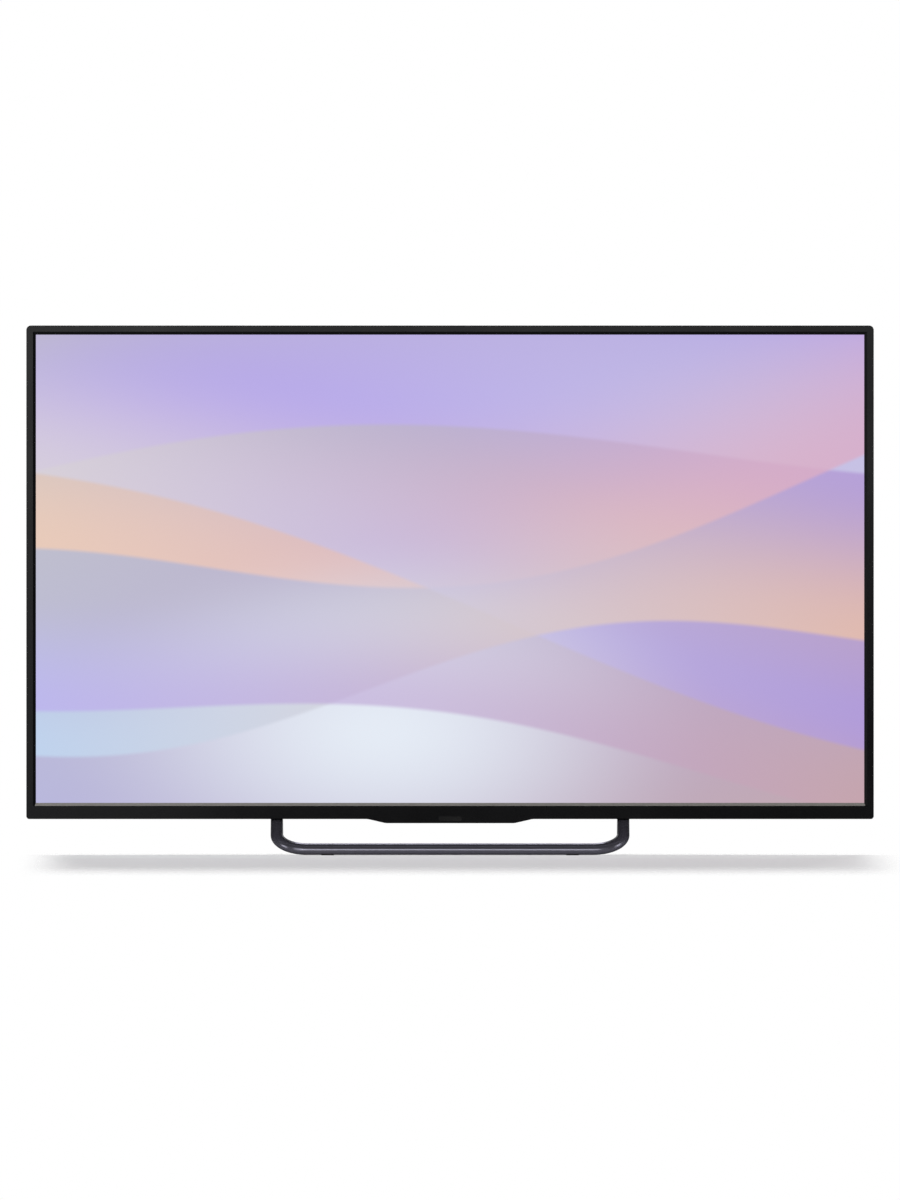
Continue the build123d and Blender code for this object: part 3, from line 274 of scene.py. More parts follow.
@dataclass(frozen=True)
class Lacquered(Finish):
    """Metal lacquer: flakes that differ in brightness under a clear coat with a slight peel."""

    colour: str
    flake: str
    roughness: float
    rough_share: float = 0.2
    flake_mm: float = 0.7
    peel_mm: float = 5.0
    peel_height_mm: float = 0.006
    peel_detail: float = 2.0
    metallic: float = 1.0
    coat: float = 0.25
    coat_roughness: float = 0.12
    edge: str = "#FFFFFF"

    def make(self) -> bpy.types.Material:
        """Draws the flakes, the worn polish and the peel.

        Returns:
            The material.
        """
        material, tree, surface, place = self.shader()
        flakes = pattern(tree, "ShaderNodeTexVoronoi", place, self.flake_mm)
        level = add_node(tree, "ShaderNodeSeparateColor", {0: flakes.outputs["Color"]}).outputs[0]
        peel = pattern(tree, "ShaderNodeTexNoise", place, self.peel_mm, Detail=self.peel_detail).outputs[0]
        inputs = {
            "Base Color": blend(tree, level, linear(self.colour), linear(self.flake)),
            "Roughness": spread(tree, peel, UNIT, about(self.roughness, self.rough_share)),
            "Normal": relief(tree, peel, self.peel_height_mm),
            "Metallic": self.metallic,
            "Specular Tint": linear(self.edge),
            "Coat Weight": self.coat,
            "Coat Roughness": self.coat_roughness,
        }
        feed(tree, surface, inputs)
        return material


@dataclass(frozen=True)
class Brushed(Finish):
    """Bare metal with fine lines along one direction, as rolling, drawing or a brush leaves them."""

    colour: str
    shade: str
    roughness: float
    rough_share: float = 0.3
    line_mm: float = 0.6
    line_share: tuple[float, float, float] = (0.03, 1.0, 1.0)
    line_height_mm: float = 0.004
    line_detail: float = 3.0

    def make(self) -> bpy.types.Material:
        """Draws the lines in colour, polish and height.

        Returns:
            The material.
        """
        material, tree, surface, place = self.shader()
        drawn = add_node(tree, "ShaderNodeMapping", {"Vector": place, "Scale": self.line_share}).outputs[0]
        lines = pattern(tree, "ShaderNodeTexNoise", drawn, self.line_mm, Detail=self.line_detail).outputs[0]
        inputs = {
            "Base Color": blend(tree, lines, linear(self.colour), linear(self.shade)),
            "Roughness": spread(tree, lines, UNIT, about(self.roughness, self.rough_share)),
            "Normal": relief(tree, lines, self.line_height_mm),
            "Metallic": 1.0,
        }
        feed(tree, surface, inputs)
        return material


@dataclass(frozen=True)
class Spangled(Finish):
    """Hot-dipped sheet: flat crystals of zinc, each with its own brightness."""

    colour: str
    shade: str
    crystal_mm: float = 9.0
    roughness: float = 0.42
    rough_share: float = 0.25

    def make(self) -> bpy.types.Material:
        """Draws the crystals in colour and polish.

        Returns:
            The material.
        """
        material, tree, surface, place = self.shader()
        crystals = pattern(tree, "ShaderNodeTexVoronoi", place, self.crystal_mm)
        level = add_node(tree, "ShaderNodeSeparateColor", {0: crystals.outputs["Color"]})
        inputs = {
            "Base Color": blend(tree, level.outputs[0], linear(self.colour), linear(self.shade)),
            "Roughness": spread(tree, level.outputs[1], UNIT, about(self.roughness, self.rough_share)),
            "Metallic": 1.0,
        }
        feed(tree, surface, inputs)
        return material


@dataclass(frozen=True)
class Printed(Finish):
    """Glass-fibre circuit board: solder mask over copper, which shows as paler lines and fields."""

    mask: str
    field: str
    line: str
    pitch_mm: float = 7.0
    line_share: float = 0.05
    line_height_mm: float = 0.05
    roughness: float = 0.35

    def make(self) -> bpy.types.Material:
        """Draws the copper's lines and fields under the mask.

        Returns:
            The material.
        """
        material, tree, surface, place = self.shader()
        axes = add_node(tree, "ShaderNodeSeparateXYZ", {0: place})
        flat = add_node(tree, "ShaderNodeCombineXYZ", {0: axes.outputs[0], 1: axes.outputs[2]}).outputs[0]
        look = {
            "Color1": linear(self.mask),
            "Color2": linear(self.field),
            "Mortar": linear(self.line),
            "Mortar Size": self.line_share,
        }
        copper = pattern(tree, "ShaderNodeTexBrick", flat, self.pitch_mm, **look)
        inputs = {
            "Base Color": copper.outputs[0],
            "Roughness": self.roughness,
            "Normal": relief(tree, copper.outputs[1], self.line_height_mm),
        }
        feed(tree, surface, inputs)
        return material


@dataclass(frozen=True)
class Clear(Finish):
    """Clear moulded acrylic with faint flow marks."""

    tint: str
    ior: float = 1.49
    clearness: float = 0.9
    roughness: float = 0.06
    flow_mm: float = 4.0
    flow_height_mm: float = 0.02

    def make(self) -> bpy.types.Material:
        """Draws the flow marks in a clear body.

        Returns:
            The material.
        """
        material, tree, surface, place = self.shader()
        flow = pattern(tree, "ShaderNodeTexNoise", place, self.flow_mm).outputs[0]
        inputs = {
            "Base Color": linear(self.tint),
            "Roughness": self.roughness,
            "Normal": relief(tree, flow, self.flow_height_mm),
            "IOR": self.ior,
            "Transmission Weight": self.clearness,
        }
        feed(tree, surface, inputs)
        return material


@dataclass(frozen=True)
class Wound(Finish):
    """Winding tape over wire: even turns with a soft ridge for each."""

    colour: str
    shade: str
    wave_mm: float = 48.0
    waver: float = 0.4
    ridge_mm: float = 0.2
    roughness: float = 0.45

    def make(self) -> bpy.types.Material:
        """Draws the turns in colour and height.

        Returns:
            The material.
        """
        material, tree, surface, place = self.shader()
        turns = pattern(tree, "ShaderNodeTexWave", place, self.wave_mm, Distortion=self.waver)
        turns.bands_direction = "Z"
        ridge = turns.outputs[1]
        inputs = {
            "Base Color": blend(tree, ridge, linear(self.shade), linear(self.colour)),
            "Roughness": self.roughness,
            "Normal": relief(tree, ridge, self.ridge_mm),
        }
        feed(tree, surface, inputs)
        return material


@dataclass(frozen=True)
class Ribbon:
    """One sheet of light across the picture, crisp below and fading upwards.

    Heights are shares of the picture's height, and waves are counted over its width.
    """

    rise: float
    tilt: float
    swing: float
    waves: float
    phase: float
    width: float
    near: str
    far: str
    strength: float


@dataclass(frozen=True)
class Lit(Finish):
    """A lit liquid-crystal picture behind an anti-glare film: broad soft sheets of pastel light.

    Its light looks dimmer in what it falls on and in what mirrors it than to the eye.
    """

    node: str
    corner_low_left: str = "#B7B6DC"
    corner_low_right: str = "#C2A6AE"
    corner_high_left: str = "#BEBEBB"
    corner_high_right: str = "#AE9AE6"
    glow: str = "#E9F1FA"
    glow_place: tuple[float, float] = (0.42, 0.16)
    glow_reach: float = 0.42
    glow_strength: float = 0.9
    edge_share: float = 0.012
    film: str = "#08080A"
    film_roughness: float = 0.38
    film_specular: float = 0.2
    level: float = 0.97
    thrown_level: float = 0.45
    mirrored_level: float = 0.05
    under: tuple[Ribbon, ...] = (
        Ribbon(0.66, 0.10, 0.10, 0.55, 0.4, 0.50, "#A98FF2", "#C9C6E6", 0.85),
        Ribbon(0.44, 0.26, 0.12, 0.70, 2.2, 0.42, "#F0CBB0", "#D9A9C4", 0.80),
        Ribbon(0.62, -0.42, 0.09, 0.60, 1.0, 0.36, "#D3D0DE", "#A795EA", 0.75),
    )
    over: tuple[Ribbon, ...] = (
        Ribbon(0.16, 0.20, 0.08, 0.90, 4.0, 0.34, "#BFD8F2", "#E9BFA6", 0.80),
        Ribbon(0.24, -0.22, 0.06, 0.80, 5.4, 0.26, "#B9A9EE", "#C7A3AC", 0.70),
    )

    def sheet(self, tree: Tree, across: Socket, up: Socket, canvas: Socket, ribbon: Ribbon) -> Socket:
        """Lays one ribbon over the canvas.

        Args:
            tree: The material's tree.
            across: Share of the width.
            up: Share of the height.
            canvas: Colour so far.
            ribbon: The ribbon's places and colours.

        Returns:
            The colour with the ribbon on it.
        """
        turn = reckon(tree, "MULTIPLY_ADD", across, ribbon.waves * math.tau, ribbon.phase)
        slope = reckon(tree, "MULTIPLY_ADD", across, ribbon.tilt, ribbon.rise)
        foot = reckon(tree, "MULTIPLY_ADD", reckon(tree, "SINE", turn), ribbon.swing, slope)
        above = reckon(tree, "SUBTRACT", up, foot)
        edge = spread(tree, above, (0.0, self.edge_share), UNIT, soft=True)
        fade = spread(tree, above, (0.0, ribbon.width), (ribbon.strength, 0.0), soft=True)
        hue = blend(tree, across, linear(ribbon.near), linear(ribbon.far))
        return blend(tree, reckon(tree, "MULTIPLY", edge, fade), canvas, hue)

    def canvas(self, tree: Tree, place: Socket) -> Socket:
        """Draws the corners' blend, the glow and the ribbons under and over it.

        Args:
            tree: The material's tree.
            place: The place on the cell.

        Returns:
            The picture's colour.
        """
        low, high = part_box(self.node)
        axes = add_node(tree, "ShaderNodeSeparateXYZ", {0: place})
        across = spread(tree, axes.outputs[0], (low.x, high.x), UNIT)
        up = spread(tree, axes.outputs[2], (low.z, high.z), UNIT)
        lower = blend(tree, across, linear(self.corner_low_left), linear(self.corner_low_right))
        upper = blend(tree, across, linear(self.corner_high_left), linear(self.corner_high_right))
        colour = blend(tree, up, lower, upper)
        for ribbon in self.under:
            colour = self.sheet(tree, across, up, colour, ribbon)
        spot = add_node(tree, "ShaderNodeCombineXYZ", {0: across, 1: up}).outputs[0]
        middle = (*self.glow_place, 0.0)
        away = add_node(tree, "ShaderNodeVectorMath", {0: spot, 1: middle}, operation="DISTANCE").outputs[1]
        near = spread(tree, away, (0.0, self.glow_reach), (self.glow_strength, 0.0), soft=True)
        colour = blend(tree, near, colour, linear(self.glow))
        for ribbon in self.over:
            colour = self.sheet(tree, across, up, colour, ribbon)
        return colour

    def make(self) -> bpy.types.Material:
        """Draws the picture as light under a dull film.

        Returns:
            The material.
        """
        material, tree, surface, place = self.shader()
        path = add_node(tree, "ShaderNodeLightPath")
        thrown = spread(tree, path.outputs["Is Diffuse Ray"], UNIT, (self.level, self.thrown_level))
        inputs = {
            "Base Color": linear(self.film),
            "Roughness": self.film_roughness,
            "Specular IOR Level": self.film_specular,
            "Emission Color": self.canvas(tree, place),
            "Emission Strength": spread(
                tree, path.outputs["Is Glossy Ray"], UNIT, (thrown, self.mirrored_level)
            ),
        }
        feed(tree, surface, inputs)
        return material


# ABS moulded against a polished tool: soft gloss, deep black, a broad pale sheen where a lamp is near
BEZEL = Moulded(
    "abs_satin_black",
    "#050507",
    "#08080A",
    0.26,
    grain_mm=2.5,
    grain_height_mm=0.0015,
    specular=0.09,
    coat=0.01,
)
# Painted highlight: the strip in the bezel's upward-facing lower bevel is drawn flat pale grey with a faint
# sparkle, for the light that this bevel catches from above
BEVEL_HIGHLIGHT = Lacquered("pale_grey_painted_highlight", "#8D8A86", "#9B9893", 0.42, metallic=0.35, coat=0.0)
# Acrylic dyed nearly black: a glassier patch than the bezel round it
WINDOW = Moulded("smoked_acrylic", "#060506", "#080708", 0.12, grain_height_mm=0.001, specular=0.35)
# Lit cell: pastel light that no lamp changes, with a film that only dulls reflections
PICTURE = Lit("lit_cell_with_anti_glare_film", "lcd_cell")
# Polycarbonate frame: plain dull black, seen only as a thin shadow line
FRAME = Moulded("polycarbonate_black", "#141416", "#1A1A1C", 0.55)
# Polyester sheets: milky white
FILM = Moulded("white_polyester_film", "#E4E6E8", "#EDEFF0", 0.5, grain_height_mm=0.002, specular=0.3)
# Acrylic lenses: clear drops with a bright rim
LENS = Clear("clear_acrylic", "#F4F7FA")
# Phosphor over the lamp chips: warm yellow dots
PHOSPHOR = Moulded("yellow_phosphor", "#E3BE3C", "#EBCB55", 0.5, grain_mm=0.3)
# Aluminium-core board with white solder mask
LAMP_BAR = Moulded("white_solder_mask", "#DDE0E0", "#E8EAEA", 0.35, grain_height_mm=0.003)
# Hot-dipped steel sheet: dull grey with large pale crystals
ZINC = Spangled("hot_dipped_steel", "#8D9194", "#A9ADAF")
# Tin and nickel plated steel: bright, with fine rolling lines
PLATED = Brushed("nickel_plated_steel", "#B9B7B0", "#C6C4BD", 0.3, line_mm=0.25, line_height_mm=0.0008)
# Extruded aluminium: pale, with lines along the extrusion
EXTRUDED = Brushed("extruded_aluminium", "#B4B7BA", "#C9CBCD", 0.36, line_share=(1.0, 1.0, 0.03))
# Glass-fibre board: green mask with paler copper lines under it
BOARD = Printed("glass_fibre_board", "#12432A", "#185233", "#2C6B45")
# Epoxy case of a chip: flat dark grey
EPOXY = Moulded("moulded_epoxy", "#1D1D1F", "#232325", 0.6, grain_mm=0.4)
# Nylon sockets: dull black with sharp edges
NYLON = Moulded("moulded_nylon", "#111112", "#171718", 0.5, grain_mm=0.5)
# Winding tape: yellow, ridged by the turns under it
TAPE = Wound("polyester_winding_tape", "#C8A637", "#A98720")
# Shrunk sleeve of a capacitor: smooth blue-black
SLEEVE = Moulded("shrunk_vinyl_sleeve", "#14152A", "#1B1C33", 0.25, grain_height_mm=0.002)
# Polyimide film: amber, smooth
AMBER = Moulded("polyimide_film", "#A05A16", "#B4691E", 0.3, grain_height_mm=0.002)
# Soft vinyl of the leads: dull black
VINYL = Moulded("soft_vinyl", "#18181A", "#1F1F21", 0.5)
# Coated paper of the cones: matt, fibrous
PAPER = Moulded("coated_paper", "#222224", "#2D2D2F", 0.8, grain_mm=1.2, grain_height_mm=0.05)
# Sintered ferrite: dark, slightly metallic grit
FERRITE = Moulded("sintered_ferrite", "#2A2A2C", "#343436", 0.6, grain_mm=0.4, grain_height_mm=0.02)
# Moulded rubber: nearly black, no gloss
RUBBER = Moulded("moulded_rubber", "#151515", "#1C1C1C", 0.85, grain_mm=0.6, specular=0.25)
# ABS from a spark-eroded tool: even fine grain that scatters light; drawn coarser than real to show
COVER = Moulded(
    "abs_grained_black", "#19191B", "#1F1F22", 0.52, grain_mm=1.1, grain_height_mm=0.05, specular=0.32
)
# Blackened steel of the screws: satin black
OXIDE = Lacquered("black_oxide_steel", "#1B1B1D", "#262628", 0.35, metallic=0.8, coat=0.0)
# Gunmetal lacquer on steel tube: dark violet grey, with crisp bright bands where a lamp is seen
GUNMETAL = Lacquered(
    "gunmetal_lacquer",
    "#676670",
    "#706F79",
    0.22,
    metallic=0.72,
    flake_mm=0.5,
    peel_height_mm=0.003,
    coat=0.0,
    edge="#4A4A54",
)
# ABS keys: the bezel's black, a little duller
KEY = Moulded("abs_key_black", "#151517", "#1B1B1D", 0.4, grain_mm=0.7, specular=0.35)
# Printed white ink: flat pale grey
INK = Moulded("pale_ink", "#B9BBBD", "#C6C8CA", 0.6, grain_mm=0.4)
# Diffusing red lens of the standby light
RED = Moulded("red_diffuser", "#8E1010", "#A31616", 0.4, grain_mm=0.5)
# Coloured rings of the sound and picture jacks
RING_YELLOW = Moulded("dyed_polypropylene_yellow", "#D9B31A", "#E2BE2C", 0.4, grain_mm=0.5)
RING_WHITE = Moulded("dyed_polypropylene_white", "#D8D8D4", "#E2E2DE", 0.4, grain_mm=0.5)
RING_RED = Moulded("dyed_polypropylene_red", "#B01F1C", "#BD2B26", 0.4, grain_mm=0.5)


@lru_cache(maxsize=None)
def material_of(finish: Finish) -> bpy.types.Material:
    """Gives the one material of a finish, made the first time it is asked for.

    Args:
        finish: The finish.

    Returns:
        Its material.
    """
    return finish.make()


def dress(finish: Finish, *names: str) -> None:
    """Puts a finish on construction nodes.

    Args:
        finish: What they are made of.
        names: The nodes.
    """
    for name in names:
        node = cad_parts[name]
        if not node.material_slots:
            node.data.materials.append(None)
        for slot in node.material_slots:
            slot.material = material_of(finish)
        log.info("dressed %s in %s", name, finish.name)


def make_piece(name: str, shape: bmesh.types.BMesh, finish: Finish, body: str) -> bpy.types.Object:
    """Turns a built shape into a piece that rides on a body.

    Args:
        name: The piece's name.
        shape: Its faces, which are freed here.
        finish: What it is made of.
        body: The body that carries it.

    Returns:
        The new object.
    """
    bmesh.ops.recalc_face_normals(shape, faces=shape.faces)
    mesh = bpy.data.meshes.new(name)
    shape.to_mesh(mesh)
    shape.free()
    piece = bpy.data.objects.new(name, mesh)
    bpy.context.scene.collection.objects.link(piece)
    mesh.materials.append(material_of(finish))
    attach(piece, body)
    log.info("built %s: %d faces", name, len(mesh.polygons))
    return piece


def add_prism(shape: bmesh.types.BMesh, outline: Outline, low: float, high: float) -> None:
    """Adds an upright prism.

    Args:
        shape: What takes the prism's faces.
        outline: Its corners in plan, in order.
        low: Height of its lower face.
        high: Height of its upper face.
    """
    lower = [shape.verts.new((x, y, low)) for x, y in outline]
    upper = [shape.verts.new((x, y, high)) for x, y in outline]
    shape.faces.new(lower)
    shape.faces.new(upper)
    count = len(outline)
    for here in range(count):
        there = (here + 1) % count
        shape.faces.new((lower[here], lower[there], upper[there], upper[here]))


def add_turned(shape: bmesh.types.BMesh, centre: Vector, profile: Outline, steps: int) -> None:
    """Adds a ring turned about an upright axis.

    Args:
        shape: What takes the ring's faces.
        centre: A point on the axis; its height is where the profile's heights start.
        profile: Closed section as (radius, height) pairs.
        steps: Sides round the axis.
    """
    rings = []
    for step in range(steps):
        angle = math.tau * step / steps
        out = Vector((math.cos(angle), math.sin(angle), 0.0))
        rings.append([shape.verts.new(centre + out * r + Vector((0.0, 0.0, h))) for r, h in profile])
    count = len(profile)
    for step in range(steps):
        here, there = rings[step], rings[(step + 1) % steps]
        for at in range(count):
            after = (at + 1) % count
            shape.faces.new((here[at], here[after], there[after], there[at]))


class Sign(Enum):
    """The plain signs printed on the keys."""

    POWER = "power"
    SOURCE = "source"
    LESS = "volume_down"
    MORE = "volume_up"
    BACK = "channel_down"
    NEXT = "channel_up"


@dataclass
class Front:
    """What faces the viewer: the bezel, the strip in its lower bevel with a painted highlight, the dark
    window and the lit cell.
    """

    def dress(self) -> None:
        """Gives each front piece its finish."""
        dress(BEZEL, "front_bezel")
        # The lower bevel's strip is painted pale grey as a highlight, for the light it catches from above
        dress(BEVEL_HIGHLIGHT, "lower_trim_strip")
        dress(WINDOW, "ir_window")
        dress(PICTURE, "lcd_cell")
        dress(EPOXY, "ir_receiver")
        dress(RED, "standby_light")


@dataclass
class Panel:
    """The layers behind the cell, and the steel pan that holds them."""

    def dress(self) -> None:
        """Gives each layer its finish."""
        dress(FRAME, "panel_frame")
        dress(FILM, "optical_films", "diffuser_plate", "diffuser_posts", "reflector_sheet")
        dress(LENS, "led_lenses")
        dress(PHOSPHOR, "led_chips")
        dress(LAMP_BAR, "led_bars")
        dress(ZINC, "back_chassis", "stand_anchors", "vesa_posts")
        dress(AMBER, "cell_flexes", "timing_flex")


@dataclass
class Electronics:
    """The boards, what stands on them, and the sockets."""

    jack_width: float = 12.0 * MM
    ring_inner: float = 4.2 * MM
    ring_outer: float = 5.2 * MM
    ring_rise: float = 2.6 * MM
    ring_height: float = 2.8 * MM
    ring_edge: float = 0.3 * MM
    ring_steps: int = 48

    def build(self) -> None:
        """Turns a coloured ring for each of the three sound and picture jacks."""
        low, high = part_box("av_jacks")
        pitch = (high.x - low.x - self.jack_width) / 2
        colours = {"yellow": RING_YELLOW, "white": RING_WHITE, "red": RING_RED}
        for at, (name, finish) in enumerate(colours.items()):
            x = low.x + self.jack_width / 2 + at * pitch
            centre = Vector((x, (low.y + high.y) / 2, low.z + self.ring_rise))
            shape = bmesh.new()
            add_turned(shape, centre, self.section(), self.ring_steps)
            make_piece("jack_ring_" + name, shape, finish, SET)

    def section(self) -> Outline:
        """Draws the ring's section, with its two outer edges eased.

        Returns:
            The section as (radius, height) pairs.
        """
        edge = self.ring_edge
        return [
            (self.ring_inner, 0.0),
            (self.ring_outer - edge, 0.0),
            (self.ring_outer, edge),
            (self.ring_outer, self.ring_height - edge),
            (self.ring_outer - edge, self.ring_height),
            (self.ring_inner, self.ring_height),
        ]

    def dress(self) -> None:
        """Gives the boards and parts their finishes."""
        dress(BOARD, "main_board", "power_board", "timing_board", "source_boards", "key_board")
        dress(EPOXY, "processor")
        dress(EXTRUDED, "heat_sink", "power_heat_sinks")
        dress(PLATED, "hdmi_sockets", "usb_socket", "card_slot", "lan_socket", "tuner_box", "board_screws")
        dress(PLATED, "key_board_screws", "av_jacks")
        dress(NYLON, "optical_socket", "headphone_jack", "mains_inlet", "key_switches")
        dress(TAPE, "power_transformers")
        dress(SLEEVE, "power_capacitors")
        dress(VINYL, "wire_leads")


@dataclass
class Sound:
    """The two speakers."""

    def dress(self) -> None:
        """Gives the speakers their finishes."""
        dress(FRAME, "speaker_boxes")
        dress(PAPER, "speaker_drivers")
        dress(FERRITE, "speaker_magnets")
        dress(RUBBER, "speaker_pads")


@dataclass
class Back:
    """The rear shell, its screws and the plates behind its terminal openings."""

    def dress(self) -> None:
        """Gives the back its finishes."""
        dress(COVER, "rear_cover")
        dress(OXIDE, "rear_cover_screws")
        dress(ZINC, "terminal_plates")


@dataclass
class Stand:
    """Two hoops of oval tube, the castings that join them, and the feet."""

    def dress(self) -> None:
        """Gives the stand its finishes."""
        dress(GUNMETAL, "stand_front_hoop", "stand_rear_hoop", "stand_saddles")
        dress(OXIDE, "stand_screws")
        dress(RUBBER, "foot_pads")


@dataclass
class Keys:
    """Six keys under the centre drop, each with a printed sign that moves with it."""

    reach: float = 1.9 * MM
    stroke: float = 0.5 * MM
    ink_thick: float = 0.06 * MM
    gap_share: float = 0.14
    arc_steps: int = 28

    def bar(self, x: float, y: float, half_x: float, half_y: float) -> Outline:
        """Draws a small bar about a point.

        Args:
            x: Its middle along the set.
            y: Its middle in depth.
            half_x: Half its length along the set.
            half_y: Half its length in depth.

        Returns:
            Its corners.
        """
        left, right, near, far = x - half_x, x + half_x, y - half_y, y + half_y
        return [(left, near), (right, near), (right, far), (left, far)]

    def strokes(self, sign: Sign, x: float, y: float) -> list[Outline]:
        """Draws a sign as a few outlines.

        Args:
            sign: Which sign.
            x: Its middle along the set.
            y: Its middle in depth.

        Returns:
            The outlines in plan.
        """
        half = self.stroke / 2
        reach = self.reach
        if sign is Sign.LESS:
            return [self.bar(x, y, reach, half)]
        if sign is Sign.MORE:
            side = (reach - half) / 2
            arms = [self.bar(x, y, reach, half)]
            arms += [self.bar(x, y + way * (half + side), half, side) for way in (-1, 1)]
            return arms
        if sign in (Sign.BACK, Sign.NEXT):
            way = 1 if sign is Sign.NEXT else -1
            return [[(x - way * reach, y - reach), (x + way * reach, y), (x - way * reach, y + reach)]]
        if sign is Sign.SOURCE:
            low, high = self.bar(x, y - reach, reach, half), self.bar(x, y + reach, reach, half)
            inner = reach - half
            return [low, high, self.bar(x - inner, y, half, inner), self.bar(x + inner, y, half, inner)]
        return [self.arc(x, y), self.bar(x, y - reach / 2, half, reach / 2)]

    def arc(self, x: float, y: float) -> Outline:
        """Draws the power sign's broken circle, open towards the front.

        Args:
            x: Its middle along the set.
            y: Its middle in depth.

        Returns:
            Its outline.
        """
        start = -math.pi / 2 + math.pi * self.gap_share
        sweep = math.tau * (1 - self.gap_share)
        angles = [start + sweep * step / self.arc_steps for step in range(self.arc_steps + 1)]
        outer = [(x + self.reach * math.cos(a), y + self.reach * math.sin(a)) for a in angles]
        inner_r = self.reach - self.stroke
        inner = [(x + inner_r * math.cos(a), y + inner_r * math.sin(a)) for a in reversed(angles)]
        return outer + inner

    def build(self) -> None:
        """Prints each sign on its key's underside."""
        for sign in Sign:
            node = "key_" + sign.value
            low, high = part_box(node)
            shape = bmesh.new()
            for outline in self.strokes(sign, (low.x + high.x) / 2, (low.y + high.y) / 2):
                add_prism(shape, outline, low.z - self.ink_thick, low.z)
            make_piece("sign_" + sign.value, shape, INK, node + "_body")

    def dress(self) -> None:
        """Gives the keys their finish."""
        dress(KEY, *("key_" + sign.value for sign in Sign))


@dataclass(frozen=True)
class Lamp:
    """One soft box of the studio, which may show in gloss only."""

    name: str
    place: tuple[float, float, float]
    aim: tuple[float, float, float]
    size: tuple[float, float]
    power: float
    gloss_only: bool = False


@dataclass
class Studio:
    """The floor, the soft light and the camera."""

    px: float = 1.1363 * MM
    frame_rows: int = 1200
    frame_columns: int = 900
    floor_row: float = 854.97
    middle_column: float = 450.05
    lens: float = 1000.0
    sensor: float = 36.0
    front_y: float = -0.04
    floor_half: float = 2.4
    floor_colours: tuple[str, str] = ("#F4F4F4", "#F7F7F7")
    floor_speck: float = 3.0
    floor_roughness: float = 0.9
    floor_specular: float = 0.1
    floor_lift: float = 0.165
    fade_left: Span = (-0.42, -0.49)
    fade_right: Span = (0.45, 0.52)
    fade_front: Span = (-0.35, -0.60)
    fade_back: Span = (-0.32, 0.35)
    fall_start: float = -0.096
    fall_length: float = 0.75
    fall_depth: float = 0.030
    fall_steps: int = 48
    world_level: float = 0.30
    card_y: float = -3.2
    card_half: float = 3.0
    card_level: float = 0.33
    card_back: float = 8.0
    ceiling_level: float = 0.08
    side_level: float = 0.12
    lamps: tuple[Lamp, ...] = (
        Lamp("back_box", (0.0, 1.7, 2.2), (0.0, -0.2, 0.0), (2.0, 0.6), 54.0),
        Lamp("front_strip", (0.0, -2.2, 0.75), (0.0, 0.0, 0.1), (1.6, 0.7), 13.0),
        Lamp("left_box", (-2.4, -1.0, 0.7), (0.0, 0.0, 0.2), (0.7, 1.2), 9.0),
        Lamp("right_box", (2.4, -0.6, 0.7), (0.0, 0.0, 0.2), (0.7, 1.2), 9.0),
        Lamp("bezel_sheen", (-0.50, -0.9, 0.34), (-0.50, 0.0, 0.34), (0.45, 0.9), 1.9, gloss_only=True),
    )

    def floor_height(self, y: float) -> float:
        """Gives the floor's height: level under the set, with a slight fall in front of it.

        Args:
            y: Depth.

        Returns:
            The height there.
        """
        way = min(max((self.fall_start - y) / self.fall_length, 0.0), 1.0)
        return -self.fall_depth * way

    def floor_finish(self) -> bpy.types.Material:
        """Makes the pale floor, which the camera sees only round the set's shadow.

        Returns:
            The material.
        """
        material = bpy.data.materials.new("matt_white_laminate")
        material.use_nodes = True
        tree = material.node_tree
        surface = tree.nodes["Principled BSDF"]
        place = add_node(tree, "ShaderNodeTexCoord").outputs["Object"]
        path = add_node(tree, "ShaderNodeLightPath")
        looked_at = path.outputs["Is Camera Ray"]
        speck = add_node(tree, "ShaderNodeTexNoise", {"Vector": place, "Scale": self.floor_speck}).outputs[0]
        first, second = self.floor_colours
        inputs = {
            "Base Color": blend(tree, speck, linear(first), linear(second)),
            "Roughness": self.floor_roughness,
            "Specular IOR Level": self.floor_specular,
            "Emission Color": WHITE,
            "Emission Strength": reckon(tree, "MULTIPLY", looked_at, self.floor_lift),
        }
        feed(tree, surface, inputs)
        axes = add_node(tree, "ShaderNodeSeparateXYZ", {0: place})
        across, deep = axes.outputs[0], axes.outputs[1]
        shown = spread(tree, across, self.fade_right, (1.0, 0.0), soft=True)
        for axis, span in ((across, self.fade_left), (deep, self.fade_front), (deep, self.fade_back)):
            shown = reckon(tree, "MULTIPLY", shown, spread(tree, axis, span, (1.0, 0.0), soft=True))
        solid = reckon(tree, "MAXIMUM", shown, reckon(tree, "SUBTRACT", 1.0, looked_at))
        under = add_node(tree, "ShaderNodeNewGeometry").outputs["Backfacing"]
        share = reckon(tree, "MULTIPLY", solid, reckon(tree, "SUBTRACT", 1.0, under))
        clear = add_node(tree, "ShaderNodeBsdfTransparent")
        both = add_node(tree, "ShaderNodeMixShader", {0: share, 1: clear.outputs[0], 2: surface.outputs[0]})
        tree.links.new(both.outputs[0], tree.nodes["Material Output"].inputs["Surface"])
        return material

    def build_floor(self) -> None:
        """Lays the floor as strips across the set."""
        pace = self.fall_length / self.fall_steps
        fall = [self.fall_start - pace * step for step in range(self.fall_steps + 1)]
        depths = [self.floor_half, *fall, -self.floor_half]
        shape = bmesh.new()
        half = self.floor_half
        rows = [[shape.verts.new((x, y, self.floor_height(y))) for x in (-half, half)] for y in depths]
        for here, there in zip(rows, rows[1:]):
            shape.faces.new((here[0], there[0], there[1], here[1]))
        mesh = bpy.data.meshes.new("floor")
        shape.to_mesh(mesh)
        shape.free()
        floor = bpy.data.objects.new("floor", mesh)
        bpy.context.scene.collection.objects.link(floor)
        mesh.materials.append(self.floor_finish())

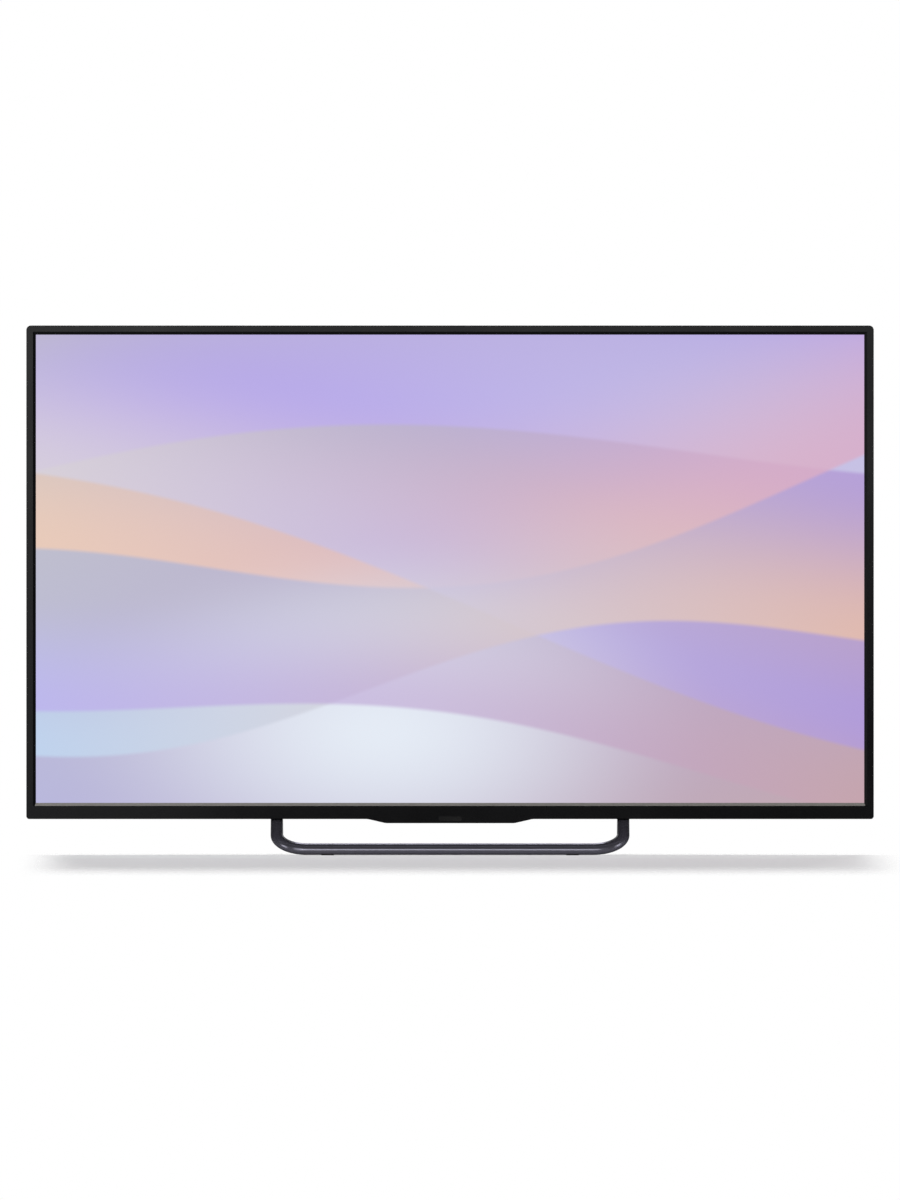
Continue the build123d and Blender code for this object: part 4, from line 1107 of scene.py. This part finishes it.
    def build_card(self, name: str, level: float, corners: list[tuple[float, float, float]]) -> None:
        """Hangs a grey card that shows only in gloss, as a studio's flags do.

        Args:
            name: The card's name.
            level: Its brightness, where 1 is white.
            corners: Its four corners, in order.
        """
        material = bpy.data.materials.new(name)
        material.use_nodes = True
        tree = material.node_tree
        tree.nodes.clear()
        grey = (level, level, level, 1.0)
        glow = add_node(tree, "ShaderNodeEmission", {"Color": grey})
        add_node(tree, "ShaderNodeOutputMaterial", {"Surface": glow.outputs[0]})
        shape = bmesh.new()
        shape.faces.new([shape.verts.new(corner) for corner in corners])
        mesh = bpy.data.meshes.new(name)
        shape.to_mesh(mesh)
        shape.free()
        mesh.materials.append(material)
        card = bpy.data.objects.new(name, mesh)
        card.visible_camera = False
        card.visible_diffuse = False
        card.visible_transmission = False
        card.visible_shadow = False
        bpy.context.scene.collection.objects.link(card)

    def build_cards(self) -> None:
        """Hangs cards before, over and beside the set, so that its gloss doesn't mirror plain white."""
        half, far, back = self.card_half, self.card_y, self.card_back
        front = [(-half, far, -half), (half, far, -half), (half, far, half), (-half, far, half)]
        over = [(-half, far, half), (half, far, half), (half, 0.0, half), (-half, 0.0, half)]
        self.build_card("front_card", self.card_level, front)
        self.build_card("ceiling_card", self.ceiling_level, over)
        for name, x in (("left_card", -half), ("right_card", half)):
            beside = [(x, far, -half), (x, far, half), (x, back, half), (x, back, -half)]
            self.build_card(name, self.side_level, beside)

    def build_world(self) -> None:
        """Makes a white surround for what looks at it, and an even light on what it falls on."""
        world = bpy.data.worlds.new("surround")
        bpy.context.scene.world = world
        world.use_nodes = True
        tree = world.node_tree
        tree.nodes.clear()
        path = add_node(tree, "ShaderNodeLightPath")
        sharp = reckon(tree, "MAXIMUM", path.outputs["Is Glossy Ray"], path.outputs["Is Transmission Ray"])
        seen = reckon(tree, "MAXIMUM", path.outputs["Is Camera Ray"], sharp)
        level = spread(tree, seen, UNIT, (self.world_level, 1.0))
        light = add_node(tree, "ShaderNodeBackground", {"Color": WHITE, "Strength": level})
        add_node(tree, "ShaderNodeOutputWorld", {"Surface": light.outputs[0]})

    def build_lamps(self) -> None:
        """Hangs the soft boxes, which the camera itself doesn't see."""
        for lamp in self.lamps:
            data = bpy.data.lights.new(lamp.name, "AREA")
            data.shape = "RECTANGLE"
            data.size, data.size_y = lamp.size
            data.energy = lamp.power
            box = bpy.data.objects.new(lamp.name, data)
            box.location = lamp.place
            way = Vector(lamp.aim) - Vector(lamp.place)
            box.rotation_euler = way.to_track_quat("-Z", "Y").to_euler()
            box.visible_camera = False
            box.visible_diffuse = not lamp.gloss_only
            bpy.context.scene.collection.objects.link(box)

    def build_camera(self) -> None:
        """Puts a far camera level with the photograph's middle row."""
        data = bpy.data.cameras.new("camera")
        data.lens = self.lens
        data.sensor_width = self.sensor
        height = self.frame_rows * self.px
        away = height / 2 / (self.sensor / 2 / self.lens)
        data.clip_start, data.clip_end = away / 2, away * 2
        camera = bpy.data.objects.new("camera", data)
        side = (self.frame_columns / 2 - self.middle_column) * self.px
        level = (self.floor_row - self.frame_rows / 2) * self.px
        camera.location = (side, self.front_y - away, level)
        camera.rotation_euler = (math.pi / 2, 0.0, 0.0)
        bpy.context.scene.collection.objects.link(camera)
        bpy.context.scene.camera = camera
        bpy.context.scene.view_settings.view_transform = "Standard"

    def build(self) -> None:
        """Sets up everything round the object."""
        self.build_camera()
        self.build_floor()
        self.build_cards()
        self.build_world()
        self.build_lamps()
        log.info("studio ready: %d lamps", len(self.lamps))


def main() -> None:
    """Builds and dresses the set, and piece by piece."""
    logging.basicConfig(level=logging.INFO, format="%(message)s")
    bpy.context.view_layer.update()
    Studio().build()
    Front().dress()
    Panel().dress()
    electronics = Electronics()
    electronics.build()
    electronics.dress()
    Sound().dress()
    Back().dress()
    Stand().dress()
    keys = Keys()
    keys.build()
    keys.dress()


if __name__ == "__main__":
    main()
